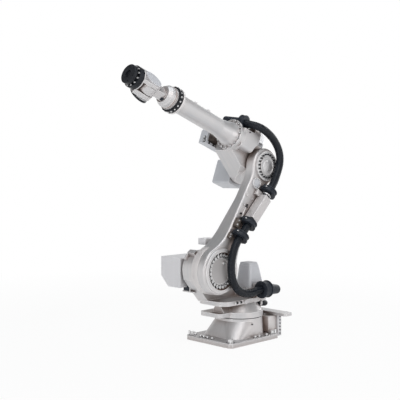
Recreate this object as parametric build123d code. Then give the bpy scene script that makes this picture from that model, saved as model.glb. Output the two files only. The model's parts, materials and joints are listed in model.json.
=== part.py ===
from build123d import *
import os
from math import cos, radians, sin, tan

# Driving dimensions in millimetres and degrees.
# The frame stands on the floor: +X is forward, +Y the left side, +Z up, the origin on the swivel axis.
SHOULDER_X = 380.0
SHOULDER_Z = 640.0
ARM_LENGTH = 1060.0
ARM_LEAN = 33.0
ELBOW_OFFSET = 146.0
FOREARM_TILT = 20.6
WRIST_ROLL = 43.0
WRIST_BEND_AT = 1405.0
FLANGE_REACH = 215.0

RUN_GAP = 0.3
SEAT_GAP = 0.2
MOVE_GAP = 6.0

# Base.
BASE_BACK = 234.0
BASE_FRONT = 400.0
BASE_HALF_WIDTH = 275.0
BASE_PLATE = 42.0
BASE_CORNER = 24.0
BASE_EDGE = 8.0
BASE_HEIGHT = 198.0
DRUM_RADIUS = 208.0
DRUM_BAND = 22.0
BODY_FRONT_INSET = 118.0
BODY_BACK_INSET = 82.0
BODY_SIDE_INSET = 58.0
BODY_CORNER = 112.0
ANCHOR_INSET = 48.0
ANCHOR_HOLE_RADIUS = 13.5
ANCHOR_PAD_RADIUS = 27.0
SOCKET_BOX_DEPTH = 106.0
SOCKET_PLATE = 54.0
SOCKET_BOX_INSET = 60.0
SOCKET_BOX_DROP = 4.0
SOCKET_BOX_CORNER = 10.0
NECK_INSET_LEFT = 112.0
NECK_INSET_RIGHT = 65.0
TRAY_OVERHANG = 60.0
TRAY_BACK_OVERHANG = 12.0
TRAY_DEPTH = 107.0
TRAY_THICKNESS = 26.0
TRAY_CORNER = 18.0
RING_RADIUS = 206.0
RING_HEIGHT = 8.0

# Swivel.
TABLE_RADIUS = 214.0
TABLE_THICKNESS = 50.0
LIP_FRONT = 330.0
LIP_RIGHT = -168.0
LIP_LEFT = 82.0
LIP_LIFT = 14.0
LIP_CORNER = 34.0
NECK_HEIGHT = 71.0
NECK_INSET = 10.0
NECK_TAPER = 44.0
RIB_FOOT_HALF = 72.0
RIB_TOP_HALF = 24.0
RIB_REACH = 66.0
SHELF_FRONT = 352.0
SHELF_BACK = 252.0
SHELF_RIGHT = -195.0
SHELF_LEFT = 150.0
SHELF_CORNER = 90.0
SHELF_THICKNESS = 38.0
TOWER_INNER = -172.0
TOWER_RADIUS = 152.0
TOWER_FOOT_BACK = -30.0
TOWER_TOE_DROP = 90.0
TOWER_HEEL = 250.0
TOWER_HEEL_RISE = 30.0
REDUCER_THICKNESS = 24.0
SHOULDER_REDUCER_RADIUS = 150.0
MOTOR2_LENGTH = 247.0
MOTOR2_HALF_WIDTH = 148.0
MOTOR2_RISE = 95.0
MOTOR2_DROP = 166.0
MOTOR2_CHAMFER = 92.0
MOTOR2_EDGE = 12.0
MOTOR2_FLANGE = 30.0
MOTOR2_FLANGE_RADIUS = 118.0
MOTOR1_X = -145.0
MOTOR1_LENGTH = 200.0
MOTOR1_WIDTH = 184.0
MOTOR1_TOP_X = -132.0
MOTOR1_TOP_LENGTH = 132.0
MOTOR1_TOP_WIDTH = 140.0
MOTOR1_HEIGHT = 195.0
MOTOR1_CORNER = 26.0
MOTOR1_CAP_INSET = 8.0
MOTOR1_CAP = 24.0
MOTOR1_SEAT = 80.0
MOTOR1_LEDGE = 5.0
MOTOR1_SEAT_FRONT = 5.0
PAD_BACK = -150.0
PAD_FRONT = -25.0
PAD_RISE = 4.0
PAD_HALF_WIDTH = 49.0
PAD_SIDE = -119.0
TOWER_BOX_INSET = 4.0
TOWER_BOX_HEIGHT = 104.0
STOP_ANGLE = 58.0
STOP_HEIGHT = 34.0
STOP_HALF_WIDTH = 22.0
STOP_INSET = 22.0

# Lower arm, with Y measured from the middle plane.
ARM_INNER = -18.0
ARM_NECK_INNER = 40.0
ARM_OUTER = 140.0
HUB_RADIUS = 206.0
ARM_END_RADIUS = 158.0
NECK_HALF_WIDTH = 100.0
RIM_HEIGHT = 20.0
RIM_RADIUS = 192.0
CAP2_RADIUS = 155.0
CAP2_DEPTH = 8.0
CAP3_RADIUS = 134.0
CAP3_HEIGHT = 14.0
ACCESS_RADIUS = 50.0
ACCESS_X = 26.0
ACCESS_BELOW = 198.0
ACCESS_HEIGHT = 10.0
HUB_BLEND = 420.0
END_BLEND = 300.0
ARM_EDGE = 16.0
HUB_INNER_EDGE = 14.0
RIM_EDGE = 8.0
SLOPE_START = 270.0
SLOPE_END_BELOW = 400.0
SLOPE_BLEND = 500.0
CAP2_RUN = 6.0

# Upper arm, in its own frame from the elbow axis, x along the forearm.
ELBOW_RADIUS = 165.0
ELBOW_CORE_RADIUS = 136.0
ELBOW_CLEAR = 48.0
ELBOW_EDGE = 18.0
ELBOW_REDUCER_RADIUS = 138.0
NOTCH_RIGHT = -150.0
NOTCH_TOP = -70.0
SHOULDER_INSET = 30.0
ELBOW_INNER = 34.0
ELBOW_OUTER = -185.0
HOUSING_RADIUS = 130.0
HOUSING_BACK = 140.0
HOUSING_SIDE = 124.0
HOUSING_BELOW = 100.0
HOUSING_CORNER = 30.0
SEAT_LENGTH = 60.0
ROOT_FACE = 385.0
MOTOR3_LENGTH = 215.0
MOTOR3_FRONT = 78.0
MOTOR3_BACK = -95.0
MOTOR3_FLOOR = -190.0
MOTOR3_TOP = 40.0
REAR_COVER_BACK = -12.0
REAR_COVER_FLOOR = 176.0
REAR_COVER_TOP = 292.0
REAR_COVER_EDGE = 14.0
REAR_COVER_INSET = 10.0
REAR_CORNER_LEFT = 36.0
REAR_CORNER_RIGHT = 24.0
MOTOR3_SIDE_EDGE = 16.0
MOTOR3_EDGE = 10.0
BRACKET_BACK = 235.0
BRACKET_FRONT = 480.0
BRACKET_WIDTH = 87.0
BRACKET_FLOOR = 40.0
BRACKET_TOP = 174.0
BRACKET_WALL = 22.0
BRACKET_FOOT = 60.0
BRACKET_CORNER = 20.0
WRIST_MOTOR_RADIUS = 40.0
SADDLE_HEIGHT = 76.0
SADDLE_BACK = 222.0
SADDLE_WALL = 14.0

# Forearm and wrist, along the forearm axis.
ROOT_RADIUS = 139.0
ROOT_THICKNESS = 20.0
TUBE_RADIUS = 78.0
FLARE_ROOT_RADIUS = 115.0
FLARE_RIM = 12.0
FLARE_RIM_RADIUS = 109.0
FLARE_BEND = 50.0
FLARE_BEND_RADIUS = 96.0
TUBE_FLARE_END = 560.0
TUBE_END = 1106.0
TUBE_END_RADIUS = 107.0
TUBE_END_FLANGE = 24.0
TUBE_END_CONE = 26.0
TUBE_END_CONE_RADIUS = 95.0
BOSS_RADIUS = 13.0
BOSS_HEIGHT = 15.0
BOSS_PLACES = [709.0, 873.0]
WRIST_RING_RADIUS = 109.0
WRIST_RING_LENGTH = 40.0
SLEEVE_RADIUS = 94.0
SLEEVE_COLLAR = 22.0
SLEEVE_STEP = 12.0
SLEEVE_WAIST_RADIUS = 90.0
SLEEVE_NOSE = 30.0
SLEEVE_NOSE_RADIUS = 72.0
TONGUE_OVERLAP = 20.0
SLEEVE_NOSE_AT = 1240.0
TONGUE_RADIUS = 84.0
TONGUE_HALF_HEIGHT = 46.0
TONGUE_PLUS = 30.0
TONGUE_MINUS = -40.0
CHEEK_RADIUS = 88.0
CHEEK_NOSE_HALF = 80.0
WRIST_BOSS_RADIUS = 54.0
CHEEK_PLUS = 66.0
CHEEK_MINUS = -84.0
DRUM_CAP_OUT = -112.0
DRUM_CAP_RADIUS = 80.0
SIDE_COVER_RADIUS = 78.0
SIDE_COVER_HEIGHT = 8.0
WEB_START = 96.0
WEB_HALF_HEIGHT = 58.0
BARREL_START = 112.0
BARREL_FACE = 122.0
BARREL_RADIUS = 88.0
ROLL_RING_RADIUS = 92.0
ROLL_RING_END = 168.0
ROLL_NECK_RADIUS = 62.0
FLANGE_RADIUS = 80.0
FLANGE_THICKNESS = 26.0
FLANGE_EDGE = 2.0
PILOT_RADIUS = 31.5
PILOT_DEPTH = 12.0
TOOL_PCD = 125.0
TOOL_HOLE_RADIUS = 5.0
TOOL_HOLE_COUNT = 6
TOOL_HOLE_DEPTH = 18.0

# Hose: radius, the arm's side plane it runs in, and its clamps.
HOSE_RADIUS = 35.0
HOSE_PLANE = 196.0
HOSE_ARC_SHARE = 0.45
CLAMP_RADIUS = 66.0
CLAMP_LENGTH = 44.0
CLAMP_RUN = 90.0
BASE_CLAMP_X = -115.0
BASE_CLAMP_RISE = 73.0
BASE_CLAMP_LENGTH = 84.0
BASE_CLAMP_RADIUS = 70.0
BASE_BOOT_LENGTH = 152.0
BASE_BOOT_RADIUS = 53.0
BASE_BOOT_TILT = 7.0
BASE_BRACKET_HALF = 38.0
BASE_BRACKET_RISE = 46.0
BOOT_TAPER = 0.74
BOOT_END = 0.6
HOSE_LOW_X = 2.5
HOSE_LOW_Z = 341.7
HOSE_HIGH_X = -104.6
HOSE_HIGH_BELOW = 207.5
HOSE_MIDDLE_SHARE = 0.28
BOX_START_SHARE = 0.36
BOX_END_SHARE = 0.86
BOX_HALF_WIDTH = 44.0
BOX_EDGE = 6.0
BOX_CLEAR = 6.0
BOX_DEPTH = 98.0
ELBOW_CLAMP_X = 300.0
ELBOW_CLAMP_Y = 32.0
ELBOW_CLAMP_LIFT = 69.0
ELBOW_CLAMP_TURN = 12.0
ELBOW_CLAMP_TILT = 7.0
ELBOW_FOOT_HALF = 40.0
ELBOW_BOOT_LENGTH = 190.0
ELBOW_BOOT_RADIUS = 45.0

# Joint places and what follows from them.
SHELF_TOP = BASE_HEIGHT + RING_HEIGHT + RUN_GAP + TABLE_THICKNESS + NECK_HEIGHT + SHELF_THICKNESS
SOCKET_BOX_BACK = BASE_BACK + SOCKET_BOX_DEPTH
SOCKET_BOX_HALF_WIDTH = BASE_HALF_WIDTH - SOCKET_BOX_INSET
TOWER_FACE = ARM_INNER - SEAT_GAP - REDUCER_THICKNESS
LEAN = radians(ARM_LEAN)
ELBOW_X = SHOULDER_X - ARM_LENGTH * sin(LEAN)
ELBOW_Z = SHOULDER_Z + ARM_LENGTH * cos(LEAN)
ARM_FRAME = Location((SHOULDER_X, 0, SHOULDER_Z), (0, -ARM_LEAN, 0))
UPPER_FRAME = Location((ELBOW_X, 0, ELBOW_Z), (0, -FOREARM_TILT, 0))
FOREARM_FRAME = UPPER_FRAME * Location((0, 0, ELBOW_OFFSET), (WRIST_ROLL, 0, 0))
WRIST_FRAME = FOREARM_FRAME * Location((WRIST_BEND_AT, 0, 0))
BRACKET_INNER = ELBOW_OUTER - SEAT_GAP
BRACKET_OUTER = BRACKET_INNER - BRACKET_WIDTH
SADDLE_FLOOR = ELBOW_OFFSET + SADDLE_HEIGHT

# The hose at rest: its two ends on the arm, then its bends from the shoulder and from the elbow.
HOSE_LOW = (ARM_FRAME * Pos(HOSE_LOW_X, HOSE_PLANE, HOSE_LOW_Z)).position
HOSE_HIGH = (ARM_FRAME * Pos(HOSE_HIGH_X, HOSE_PLANE, ARM_LENGTH - HOSE_HIGH_BELOW)).position
HOSE_ALONG = (HOSE_HIGH - HOSE_LOW).normalized()
BASE_CLAMP_Z = SHELF_TOP + BASE_CLAMP_RISE
ELBOW_CLAMP_FRAME = Location((ELBOW_CLAMP_X, ELBOW_CLAMP_Y, SADDLE_FLOOR + ELBOW_CLAMP_LIFT),
                             (90 - ELBOW_CLAMP_TILT, 0, ELBOW_CLAMP_TURN), Extrinsic.XYZ)
LOWER_BENDS = [(-345, -218), (-248, -216), (-164, -182), (-100, -112), (-70, -26), (-67, 52), (-82, 124)]
UPPER_BENDS = [(-98, 0, -60), (-134, 0, 30), (-128, 0, 118), (-82, 0, 196), (-12, 0, 262), (68, -6, 312),
               (138, -22, 344)]

NODES = {}


def add(name, shape, frame=None):
    NODES[name] = frame * shape if frame else shape


def block(x0, x1, y0, y1, z0, z1):
    return Pos((x0 + x1) / 2, (y0 + y1) / 2, (z0 + z1) / 2) * Box(x1 - x0, y1 - y0, z1 - z0)


def disc_x(radius, x0, x1, y=0.0, z=0.0):
    return Pos((x0 + x1) / 2, y, z) * Rot(0, 90, 0) * Cylinder(radius, x1 - x0)


def disc_y(radius, y0, y1, x=0.0, z=0.0):
    return Pos(x, (y0 + y1) / 2, z) * Rot(90, 0, 0) * Cylinder(radius, y1 - y0)


def disc_z(radius, z0, z1, x=0.0, y=0.0):
    return Pos(x, y, (z0 + z1) / 2) * Cylinder(radius, z1 - z0)


def side_plate(outline, y0, y1):
    """A side outline in (x, z), thickened from y0 to y1."""
    plane = Plane(origin=(0, y1, 0), x_dir=(1, 0, 0), z_dir=(0, -1, 0))
    return extrude(plane * outline, y1 - y0)


def front_plate(outline, x0, x1):
    """A front outline in (y, z), thickened from x0 to x1."""
    plane = Plane(origin=(x0, 0, 0), x_dir=(0, 1, 0), z_dir=(1, 0, 0))
    return extrude(plane * outline, x1 - x0)


def turned(points):
    """Revolve an outline of (along, radius) points about the X axis."""
    outline = Polyline(*points, close=True)
    return revolve(make_face(outline), Axis.X)


def polygon(*points):
    return make_face(Polyline(*points, close=True))


def edges_at(shape, axis, value, tol=0.5):
    return shape.edges().filter_by_position(axis, value - tol, value + tol)


# Base

def base_casting():
    """Floor plate with a body that blends from a rounded square to the round bearing seat."""
    plate = block(-BASE_BACK, BASE_FRONT, -BASE_HALF_WIDTH, BASE_HALF_WIDTH, 0, BASE_PLATE)
    plate = chamfer(plate.edges().filter_by(Axis.Z), BASE_CORNER)
    plate = fillet(edges_at(plate, Axis.Z, BASE_PLATE), BASE_EDGE)
    front = BASE_FRONT - BODY_FRONT_INSET
    back = BASE_BACK - BODY_BACK_INSET
    width = 2 * (BASE_HALF_WIDTH - BODY_SIDE_INSET)
    band = BASE_HEIGHT - DRUM_BAND
    foot = Pos((front - back) / 2, 0, BASE_PLATE) * RectangleRounded(front + back, width, BODY_CORNER)
    seat = Pos(0, 0, band) * RectangleRounded(2 * DRUM_RADIUS, 2 * DRUM_RADIUS, DRUM_RADIUS - RUN_GAP)
    body = plate + loft([foot, seat]) + disc_z(DRUM_RADIUS, band, BASE_HEIGHT)
    for hole_x in (BASE_FRONT - ANCHOR_INSET, ANCHOR_INSET - BASE_BACK):
        for hole_y in (BASE_HALF_WIDTH - ANCHOR_INSET, ANCHOR_INSET - BASE_HALF_WIDTH):
            body -= disc_z(ANCHOR_HOLE_RADIUS, -1, BASE_HEIGHT, hole_x, hole_y)
            body -= disc_z(ANCHOR_PAD_RADIUS, BASE_PLATE, BASE_HEIGHT, hole_x, hole_y)
    return body


def socket_box():
    """Upright connector plate behind the base, with the neck that joins it to the base."""
    front = -BASE_BACK - SEAT_GAP
    back = -SOCKET_BOX_BACK
    half = SOCKET_BOX_HALF_WIDTH
    top = BASE_HEIGHT - SOCKET_BOX_DROP
    plate = block(back, back + SOCKET_PLATE, -half, half, 0, top)
    plate = fillet(plate.edges().filter_by(Axis.Z), SOCKET_BOX_CORNER)
    left = half - NECK_INSET_LEFT
    return plate + block(back + SOCKET_PLATE - 1, front, NECK_INSET_RIGHT - half, left, 0, top)


def tray_plate():
    floor = BASE_HEIGHT - SOCKET_BOX_DROP
    back = -SOCKET_BOX_BACK - TRAY_BACK_OVERHANG
    half = BASE_HALF_WIDTH + TRAY_OVERHANG
    tray = block(back, back + TRAY_DEPTH, -half, half, floor, floor + TRAY_THICKNESS)
    return chamfer(tray.edges().filter_by(Axis.Z), TRAY_CORNER)


# Swivel

def swivel_casting():
    floor = BASE_HEIGHT + RING_HEIGHT + RUN_GAP
    table_top = floor + TABLE_THICKNESS
    neck_top = table_top + NECK_HEIGHT
    lip = block(0, LIP_FRONT, LIP_RIGHT, LIP_LEFT, floor + LIP_LIFT, table_top)
    lip = fillet(lip.edges().filter_by(Axis.Z), LIP_CORNER)
    waist = TABLE_RADIUS - NECK_INSET
    middle = (table_top + neck_top) / 2
    neck = Pos(0, 0, middle) * Cone(waist, waist - NECK_TAPER, NECK_HEIGHT)
    fan = polygon((-RIB_FOOT_HALF, table_top), (RIB_FOOT_HALF, table_top), (RIB_TOP_HALF, neck_top),
                  (-RIB_TOP_HALF, neck_top))
    rib = front_plate(fan, 0, waist + RIB_REACH)
    shelf = block(-SHELF_BACK, SHELF_FRONT, SHELF_RIGHT, SHELF_LEFT, neck_top, SHELF_TOP)
    shelf = fillet(shelf.edges().filter_by(Axis.Z), SHELF_CORNER)
    body = disc_z(TABLE_RADIUS, floor, table_top) + lip + neck + rib + shelf
    shoulder = Pos(SHOULDER_X, SHOULDER_Z) * Circle(TOWER_RADIUS)
    toe = (SHOULDER_X + TOWER_RADIUS * 0.9, SHOULDER_Z - TOWER_TOE_DROP)
    heel = (SHOULDER_X - TOWER_HEEL, SHOULDER_Z + TOWER_HEEL_RISE)
    root = SHELF_TOP - SHELF_THICKNESS / 2
    foot = polygon((TOWER_FOOT_BACK, root), (SHELF_FRONT - NECK_INSET, root), toe,
                   (SHOULDER_X, SHOULDER_Z + TOWER_RADIUS), heel)
    body += side_plate(make_hull((shoulder + foot).edges()), TOWER_INNER, TOWER_FACE)
    pad_side = PAD_SIDE + PAD_HALF_WIDTH
    body += block(SHOULDER_X + PAD_BACK, SHOULDER_X + PAD_FRONT, PAD_SIDE - PAD_HALF_WIDTH, pad_side,
                  SHOULDER_Z, SHOULDER_Z + TOWER_RADIUS + PAD_RISE)
    half = MOTOR1_WIDTH / 2 + MOTOR1_LEDGE
    back = MOTOR1_X - MOTOR1_LENGTH / 2 - MOTOR1_LEDGE
    body += block(back, MOTOR1_SEAT_FRONT, -half, half, root, SHELF_TOP + MOTOR1_SEAT)
    return body


def stop_block():
    outer = TOWER_RADIUS + STOP_HEIGHT
    half = STOP_HALF_WIDTH
    lug = block(0, outer, TOWER_INNER + STOP_INSET, TOWER_FACE - STOP_INSET, -half, half)
    lug -= disc_y(TOWER_RADIUS + SEAT_GAP, TOWER_INNER, TOWER_FACE)
    return Pos(SHOULDER_X, 0, SHOULDER_Z) * Rot(0, -STOP_ANGLE, 0) * lug


def shoulder_motor_cover():
    """Box-shaped motor cover with its lower outer edge cut off."""
    inner = TOWER_INNER - MOTOR2_FLANGE
    outer = inner - MOTOR2_LENGTH
    floor = SHOULDER_Z - MOTOR2_DROP
    top = SHOULDER_Z + MOTOR2_RISE
    slope = MOTOR2_CHAMFER
    outline = polygon((inner, floor), (outer + slope, floor), (outer, floor + slope), (outer, top),
                      (inner, top))
    cover = front_plate(outline, SHOULDER_X - MOTOR2_HALF_WIDTH, SHOULDER_X + MOTOR2_HALF_WIDTH)
    return fillet(cover.edges().filter_by(Axis.X), MOTOR2_EDGE)


def swivel_motor_cover():
    """Motor cover that narrows upwards, mostly on its rear side."""
    seat = SHELF_TOP + MOTOR1_SEAT
    foot = Pos(MOTOR1_X, 0, seat) * RectangleRounded(MOTOR1_LENGTH, MOTOR1_WIDTH, MOTOR1_CORNER)
    top = Pos(MOTOR1_TOP_X, 0, seat + MOTOR1_HEIGHT)
    return loft([foot, top * RectangleRounded(MOTOR1_TOP_LENGTH, MOTOR1_TOP_WIDTH, MOTOR1_CORNER)])


def swivel_motor_cap():
    floor = SHELF_TOP + MOTOR1_SEAT + MOTOR1_HEIGHT
    length = MOTOR1_TOP_LENGTH - MOTOR1_CAP_INSET
    width = MOTOR1_TOP_WIDTH - MOTOR1_CAP_INSET
    cap = extrude(Pos(MOTOR1_TOP_X, 0, floor) * RectangleRounded(length, width, MOTOR1_CORNER), MOTOR1_CAP)
    return fillet(edges_at(cap, Axis.Z, floor + MOTOR1_CAP), MOTOR1_CAP / 2)


def base_bracket():
    """Saddle block between the swivel's shelf and the lower hose clamp."""
    side = MOTOR1_WIDTH / 2 + MOTOR1_LEDGE + SEAT_GAP
    back = BASE_CLAMP_X - BASE_BRACKET_HALF
    front = BASE_CLAMP_X + BASE_BRACKET_HALF
    body = block(back, front, side, SHELF_LEFT, SHELF_TOP, BASE_CLAMP_Z + BASE_BRACKET_RISE)
    return body - disc_x(BASE_CLAMP_RADIUS + SEAT_GAP, back - 1, front + 1, HOSE_PLANE, BASE_CLAMP_Z)


def base_boot():
    """Boot behind the lower hose clamp, cut square where it meets the clamp."""
    start = BASE_CLAMP_X - BASE_CLAMP_LENGTH / 2 - SEAT_GAP
    tilt = radians(BASE_BOOT_TILT)
    overlap = BASE_BOOT_RADIUS * sin(tilt) + 1
    body = boot((start + overlap, HOSE_PLANE, BASE_CLAMP_Z), (-cos(tilt), 0, -sin(tilt)),
                BASE_BOOT_LENGTH + overlap, BASE_BOOT_RADIUS)
    wide = 2 * BASE_BOOT_RADIUS
    return body - block(start, start + wide, HOSE_PLANE - wide, HOSE_PLANE + wide, BASE_CLAMP_Z - wide,
                        BASE_CLAMP_Z + wide)


# Lower arm

def arm_casting():
    """Arm between two round ends: an outline with long blends, cut back inside towards the elbow."""
    hub = Circle(HUB_RADIUS)
    end = Pos(0, ARM_LENGTH) * Circle(ARM_END_RADIUS)
    neck = Pos(0, ARM_LENGTH / 2) * Rectangle(2 * NECK_HALF_WIDTH, ARM_LENGTH)
    outline = hub + end + neck
    hub_corners = outline.vertices().filter_by_position(Axis.Y, 1, ARM_LENGTH / 2)
    outline = fillet(hub_corners, HUB_BLEND)
    end_corners = outline.vertices().filter_by_position(Axis.Y, ARM_LENGTH * 0.8, ARM_LENGTH - 1)
    outline = fillet(end_corners, END_BLEND)
    body = side_plate(outline, ARM_INNER, ARM_OUTER)
    low = -HUB_RADIUS - 1
    high = ARM_LENGTH + ARM_END_RADIUS + 1
    slope_end = ARM_LENGTH - SLOPE_END_BELOW
    slab = polygon((ARM_OUTER, low), (ARM_OUTER, high), (ARM_NECK_INNER, high), (ARM_NECK_INNER, slope_end),
                   (ARM_INNER, SLOPE_START), (ARM_INNER, low))
    slab = fillet(slab.vertices().filter_by_position(Axis.Y, SLOPE_START - 1, slope_end + 1), SLOPE_BLEND)
    body &= front_plate(slab, low, -low)
    hub_edge = edges_at(body, Axis.Y, ARM_INNER).filter_by(GeomType.CIRCLE)
    body = fillet(hub_edge, HUB_INNER_EDGE)
    body = fillet(edges_at(body, Axis.Y, ARM_OUTER), ARM_EDGE)
    body += disc_y(RIM_RADIUS, ARM_OUTER - 1, ARM_OUTER + RIM_HEIGHT)
    body = fillet(edges_at(body, Axis.Y, ARM_OUTER + RIM_HEIGHT), RIM_EDGE)
    body -= disc_y(CAP2_RADIUS + CAP2_RUN, ARM_OUTER - 2 * CAP2_DEPTH, ARM_OUTER + RIM_HEIGHT + 1)
    return body


def hose_box():
    span = (HOSE_HIGH - HOSE_LOW).length
    start = HOSE_LOW + HOSE_ALONG * (span * BOX_START_SHARE)
    plane = Plane(origin=start, x_dir=(0, 1, 0), z_dir=HOSE_ALONG)
    middle = ARM_OUTER + BOX_CLEAR + BOX_DEPTH / 2 - HOSE_PLANE
    outline = Pos(middle, 0) * RectangleRounded(BOX_DEPTH, 2 * BOX_HALF_WIDTH, BOX_EDGE)
    outline -= Circle(HOSE_RADIUS + SEAT_GAP)
    return extrude(plane * outline, span * (BOX_END_SHARE - BOX_START_SHARE))


def arm_clamp(share):
    """A hose clamp with its foot on the arm's outer face."""
    centre = HOSE_LOW + (HOSE_HIGH - HOSE_LOW) * share
    plane = Plane(origin=centre, x_dir=(0, 1, 0), z_dir=HOSE_ALONG)
    floor = ARM_OUTER - HOSE_PLANE
    width = 2 * CLAMP_RADIUS
    foot = Pos(floor / 2, 0) * Rectangle(-floor, width * 0.9)
    outline = Circle(CLAMP_RADIUS) + foot - Circle(HOSE_RADIUS + SEAT_GAP)
    outline &= Pos(floor + width, 0) * Rectangle(2 * width, 2 * width)
    return extrude(plane * outline, CLAMP_LENGTH / 2, both=True)


# Elbow and upper arm, in the frame of the elbow axis

def elbow_casting():
    """Elbow drum joined to a flat-sided housing with a round seat, cut where the arm's end passes."""
    front = ROOT_FACE - SHOULDER_INSET
    seat = REAR_COVER_FLOOR - SEAT_GAP
    low = ELBOW_OFFSET - HOUSING_RADIUS
    shoulder = polygon((REAR_COVER_BACK, seat), (REAR_COVER_BACK, 0), (front, low), (front, seat))
    outline = make_hull((Circle(ELBOW_RADIUS) + shoulder).edges())
    body = side_plate(outline, ELBOW_OUTER, ELBOW_INNER)
    body = fillet(edges_at(body, Axis.Y, ELBOW_OUTER), ELBOW_EDGE)
    floor = -ELBOW_RADIUS - 1
    beyond = ELBOW_INNER + 1
    wedge = polygon((NOTCH_RIGHT, floor), (ELBOW_INNER, NOTCH_TOP), (beyond, NOTCH_TOP), (beyond, floor))
    notch = front_plate(wedge, floor, front)
    body -= notch - disc_y(ELBOW_CORE_RADIUS, ELBOW_OUTER, ELBOW_INNER + 2)
    shell = block(HOUSING_BACK, front, -HOUSING_SIDE, HOUSING_SIDE, ELBOW_OFFSET - HOUSING_BELOW,
                  ELBOW_OFFSET + HOUSING_SIDE)
    shell = fillet(shell.edges().filter_by(Axis.X), HOUSING_CORNER)
    body += shell + disc_x(HOUSING_RADIUS, ROOT_FACE - SEAT_LENGTH, ROOT_FACE, 0, ELBOW_OFFSET)
    body -= disc_y(ARM_END_RADIUS + ELBOW_CLEAR, ELBOW_INNER, HOUSING_RADIUS + 1)
    body -= block(SADDLE_BACK, ROOT_FACE - SADDLE_WALL, -HOUSING_RADIUS, HOUSING_RADIUS, SADDLE_FLOOR,
                  ELBOW_OFFSET + HOUSING_RADIUS)
    return body


def elbow_motor_cover():
    inner = ELBOW_OUTER - SEAT_GAP
    outer = inner - MOTOR3_LENGTH
    cover = block(MOTOR3_BACK, MOTOR3_FRONT, outer, inner, MOTOR3_FLOOR, MOTOR3_TOP)
    cover = fillet(cover.edges().filter_by(Axis.Y), MOTOR3_SIDE_EDGE)
    return fillet(edges_at(cover, Axis.Y, outer), MOTOR3_EDGE)


def rear_cover():
    """Motor cover behind the forearm seat, its rear corners cut back in plan."""
    back = REAR_COVER_BACK
    front = HOUSING_BACK - SEAT_GAP
    half = HOUSING_RADIUS - REAR_COVER_INSET
    right = REAR_CORNER_RIGHT
    plan = polygon((front, half), (back, REAR_CORNER_LEFT), (back, right - half), (back + right, -half),
                   (front, -half))
    cover = extrude(Pos(0, 0, REAR_COVER_FLOOR) * plan, REAR_COVER_TOP - REAR_COVER_FLOOR)
    cover = fillet(edges_at(cover, Axis.Z, REAR_COVER_TOP), REAR_COVER_EDGE)
    return cover - disc_y(ARM_END_RADIUS + ELBOW_CLEAR, ELBOW_INNER, HOUSING_RADIUS)


def wrist_motor_bracket():
    """Open bracket beside the forearm seat: foot, lower rail and front plate round a window."""
    foot_front = BRACKET_BACK + BRACKET_FOOT
    rail_top = BRACKET_FLOOR + BRACKET_WALL
    plate_back = BRACKET_FRONT - BRACKET_WALL
    foot = block(BRACKET_BACK, foot_front, BRACKET_OUTER, BRACKET_INNER, BRACKET_FLOOR, BRACKET_TOP)
    rail = block(foot_front - 1, BRACKET_FRONT, BRACKET_OUTER, BRACKET_INNER, BRACKET_FLOOR, rail_top)
    plate = block(plate_back, BRACKET_FRONT, BRACKET_OUTER, BRACKET_INNER, BRACKET_FLOOR, BRACKET_TOP)
    plate = chamfer(plate.edges().filter_by(Axis.X), BRACKET_CORNER)
    return foot + rail + plate


def wrist_motor():
    back = BRACKET_BACK + BRACKET_FOOT + SEAT_GAP
    front = BRACKET_FRONT - BRACKET_WALL - SEAT_GAP
    middle_y = (BRACKET_OUTER + BRACKET_INNER) / 2
    middle_z = (BRACKET_FLOOR + BRACKET_WALL + BRACKET_TOP) / 2
    return disc_x(WRIST_MOTOR_RADIUS, back, front, middle_y, middle_z)


def elbow_clamp():
    """Hose clamp on the saddle above the forearm seat, turned towards the hose."""
    centre = ELBOW_CLAMP_FRAME.position
    ring = Circle(CLAMP_RADIUS) - Circle(HOSE_RADIUS + SEAT_GAP)
    half = CLAMP_LENGTH / 2
    foot = block(-ELBOW_FOOT_HALF, ELBOW_FOOT_HALF, -half, half, SADDLE_FLOOR - centre.Z, -HOSE_RADIUS / 2)
    body = ELBOW_CLAMP_FRAME * extrude(ring, half, both=True)
    body += Location(centre, (0, 0, ELBOW_CLAMP_TURN)) * foot
    return body - ELBOW_CLAMP_FRAME * Cylinder(HOSE_RADIUS + SEAT_GAP, 2 * CLAMP_RADIUS)


# Forearm and wrist, on the forearm axis

def forearm_tube():
    start = ROOT_FACE + RUN_GAP + ROOT_THICKNESS
    neck = TUBE_END - TUBE_END_FLANGE
    points = [(start, 0), (start, FLARE_ROOT_RADIUS), (start + FLARE_RIM, FLARE_RIM_RADIUS),
              (start + FLARE_BEND, FLARE_BEND_RADIUS), (TUBE_FLARE_END, TUBE_RADIUS),
              (neck - TUBE_END_CONE, TUBE_RADIUS), (neck, TUBE_END_CONE_RADIUS),
              (neck, TUBE_END_RADIUS), (TUBE_END, TUBE_END_RADIUS), (TUBE_END, 0)]
    body = turned(points)
    for place in BOSS_PLACES:
        body += Rot(-WRIST_ROLL, 0, 0) * disc_z(BOSS_RADIUS, 0, TUBE_RADIUS + BOSS_HEIGHT, place)
    return body


def wrist_sleeve():
    start = TUBE_END + WRIST_RING_LENGTH
    step = start + SLEEVE_COLLAR
    points = [(start, 0), (start, SLEEVE_RADIUS), (step, SLEEVE_RADIUS),
              (step + SLEEVE_STEP, SLEEVE_WAIST_RADIUS), (SLEEVE_NOSE_AT - SLEEVE_NOSE, SLEEVE_WAIST_RADIUS),
              (SLEEVE_NOSE_AT, SLEEVE_NOSE_RADIUS), (SLEEVE_NOSE_AT, 0)]
    body = turned(points)
    half = TONGUE_HALF_HEIGHT
    body += block(SLEEVE_NOSE_AT - TONGUE_OVERLAP, WRIST_BEND_AT, TONGUE_MINUS, TONGUE_PLUS, -half, half)
    body += disc_y(TONGUE_RADIUS, TONGUE_MINUS, TONGUE_PLUS, WRIST_BEND_AT)
    return body


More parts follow.
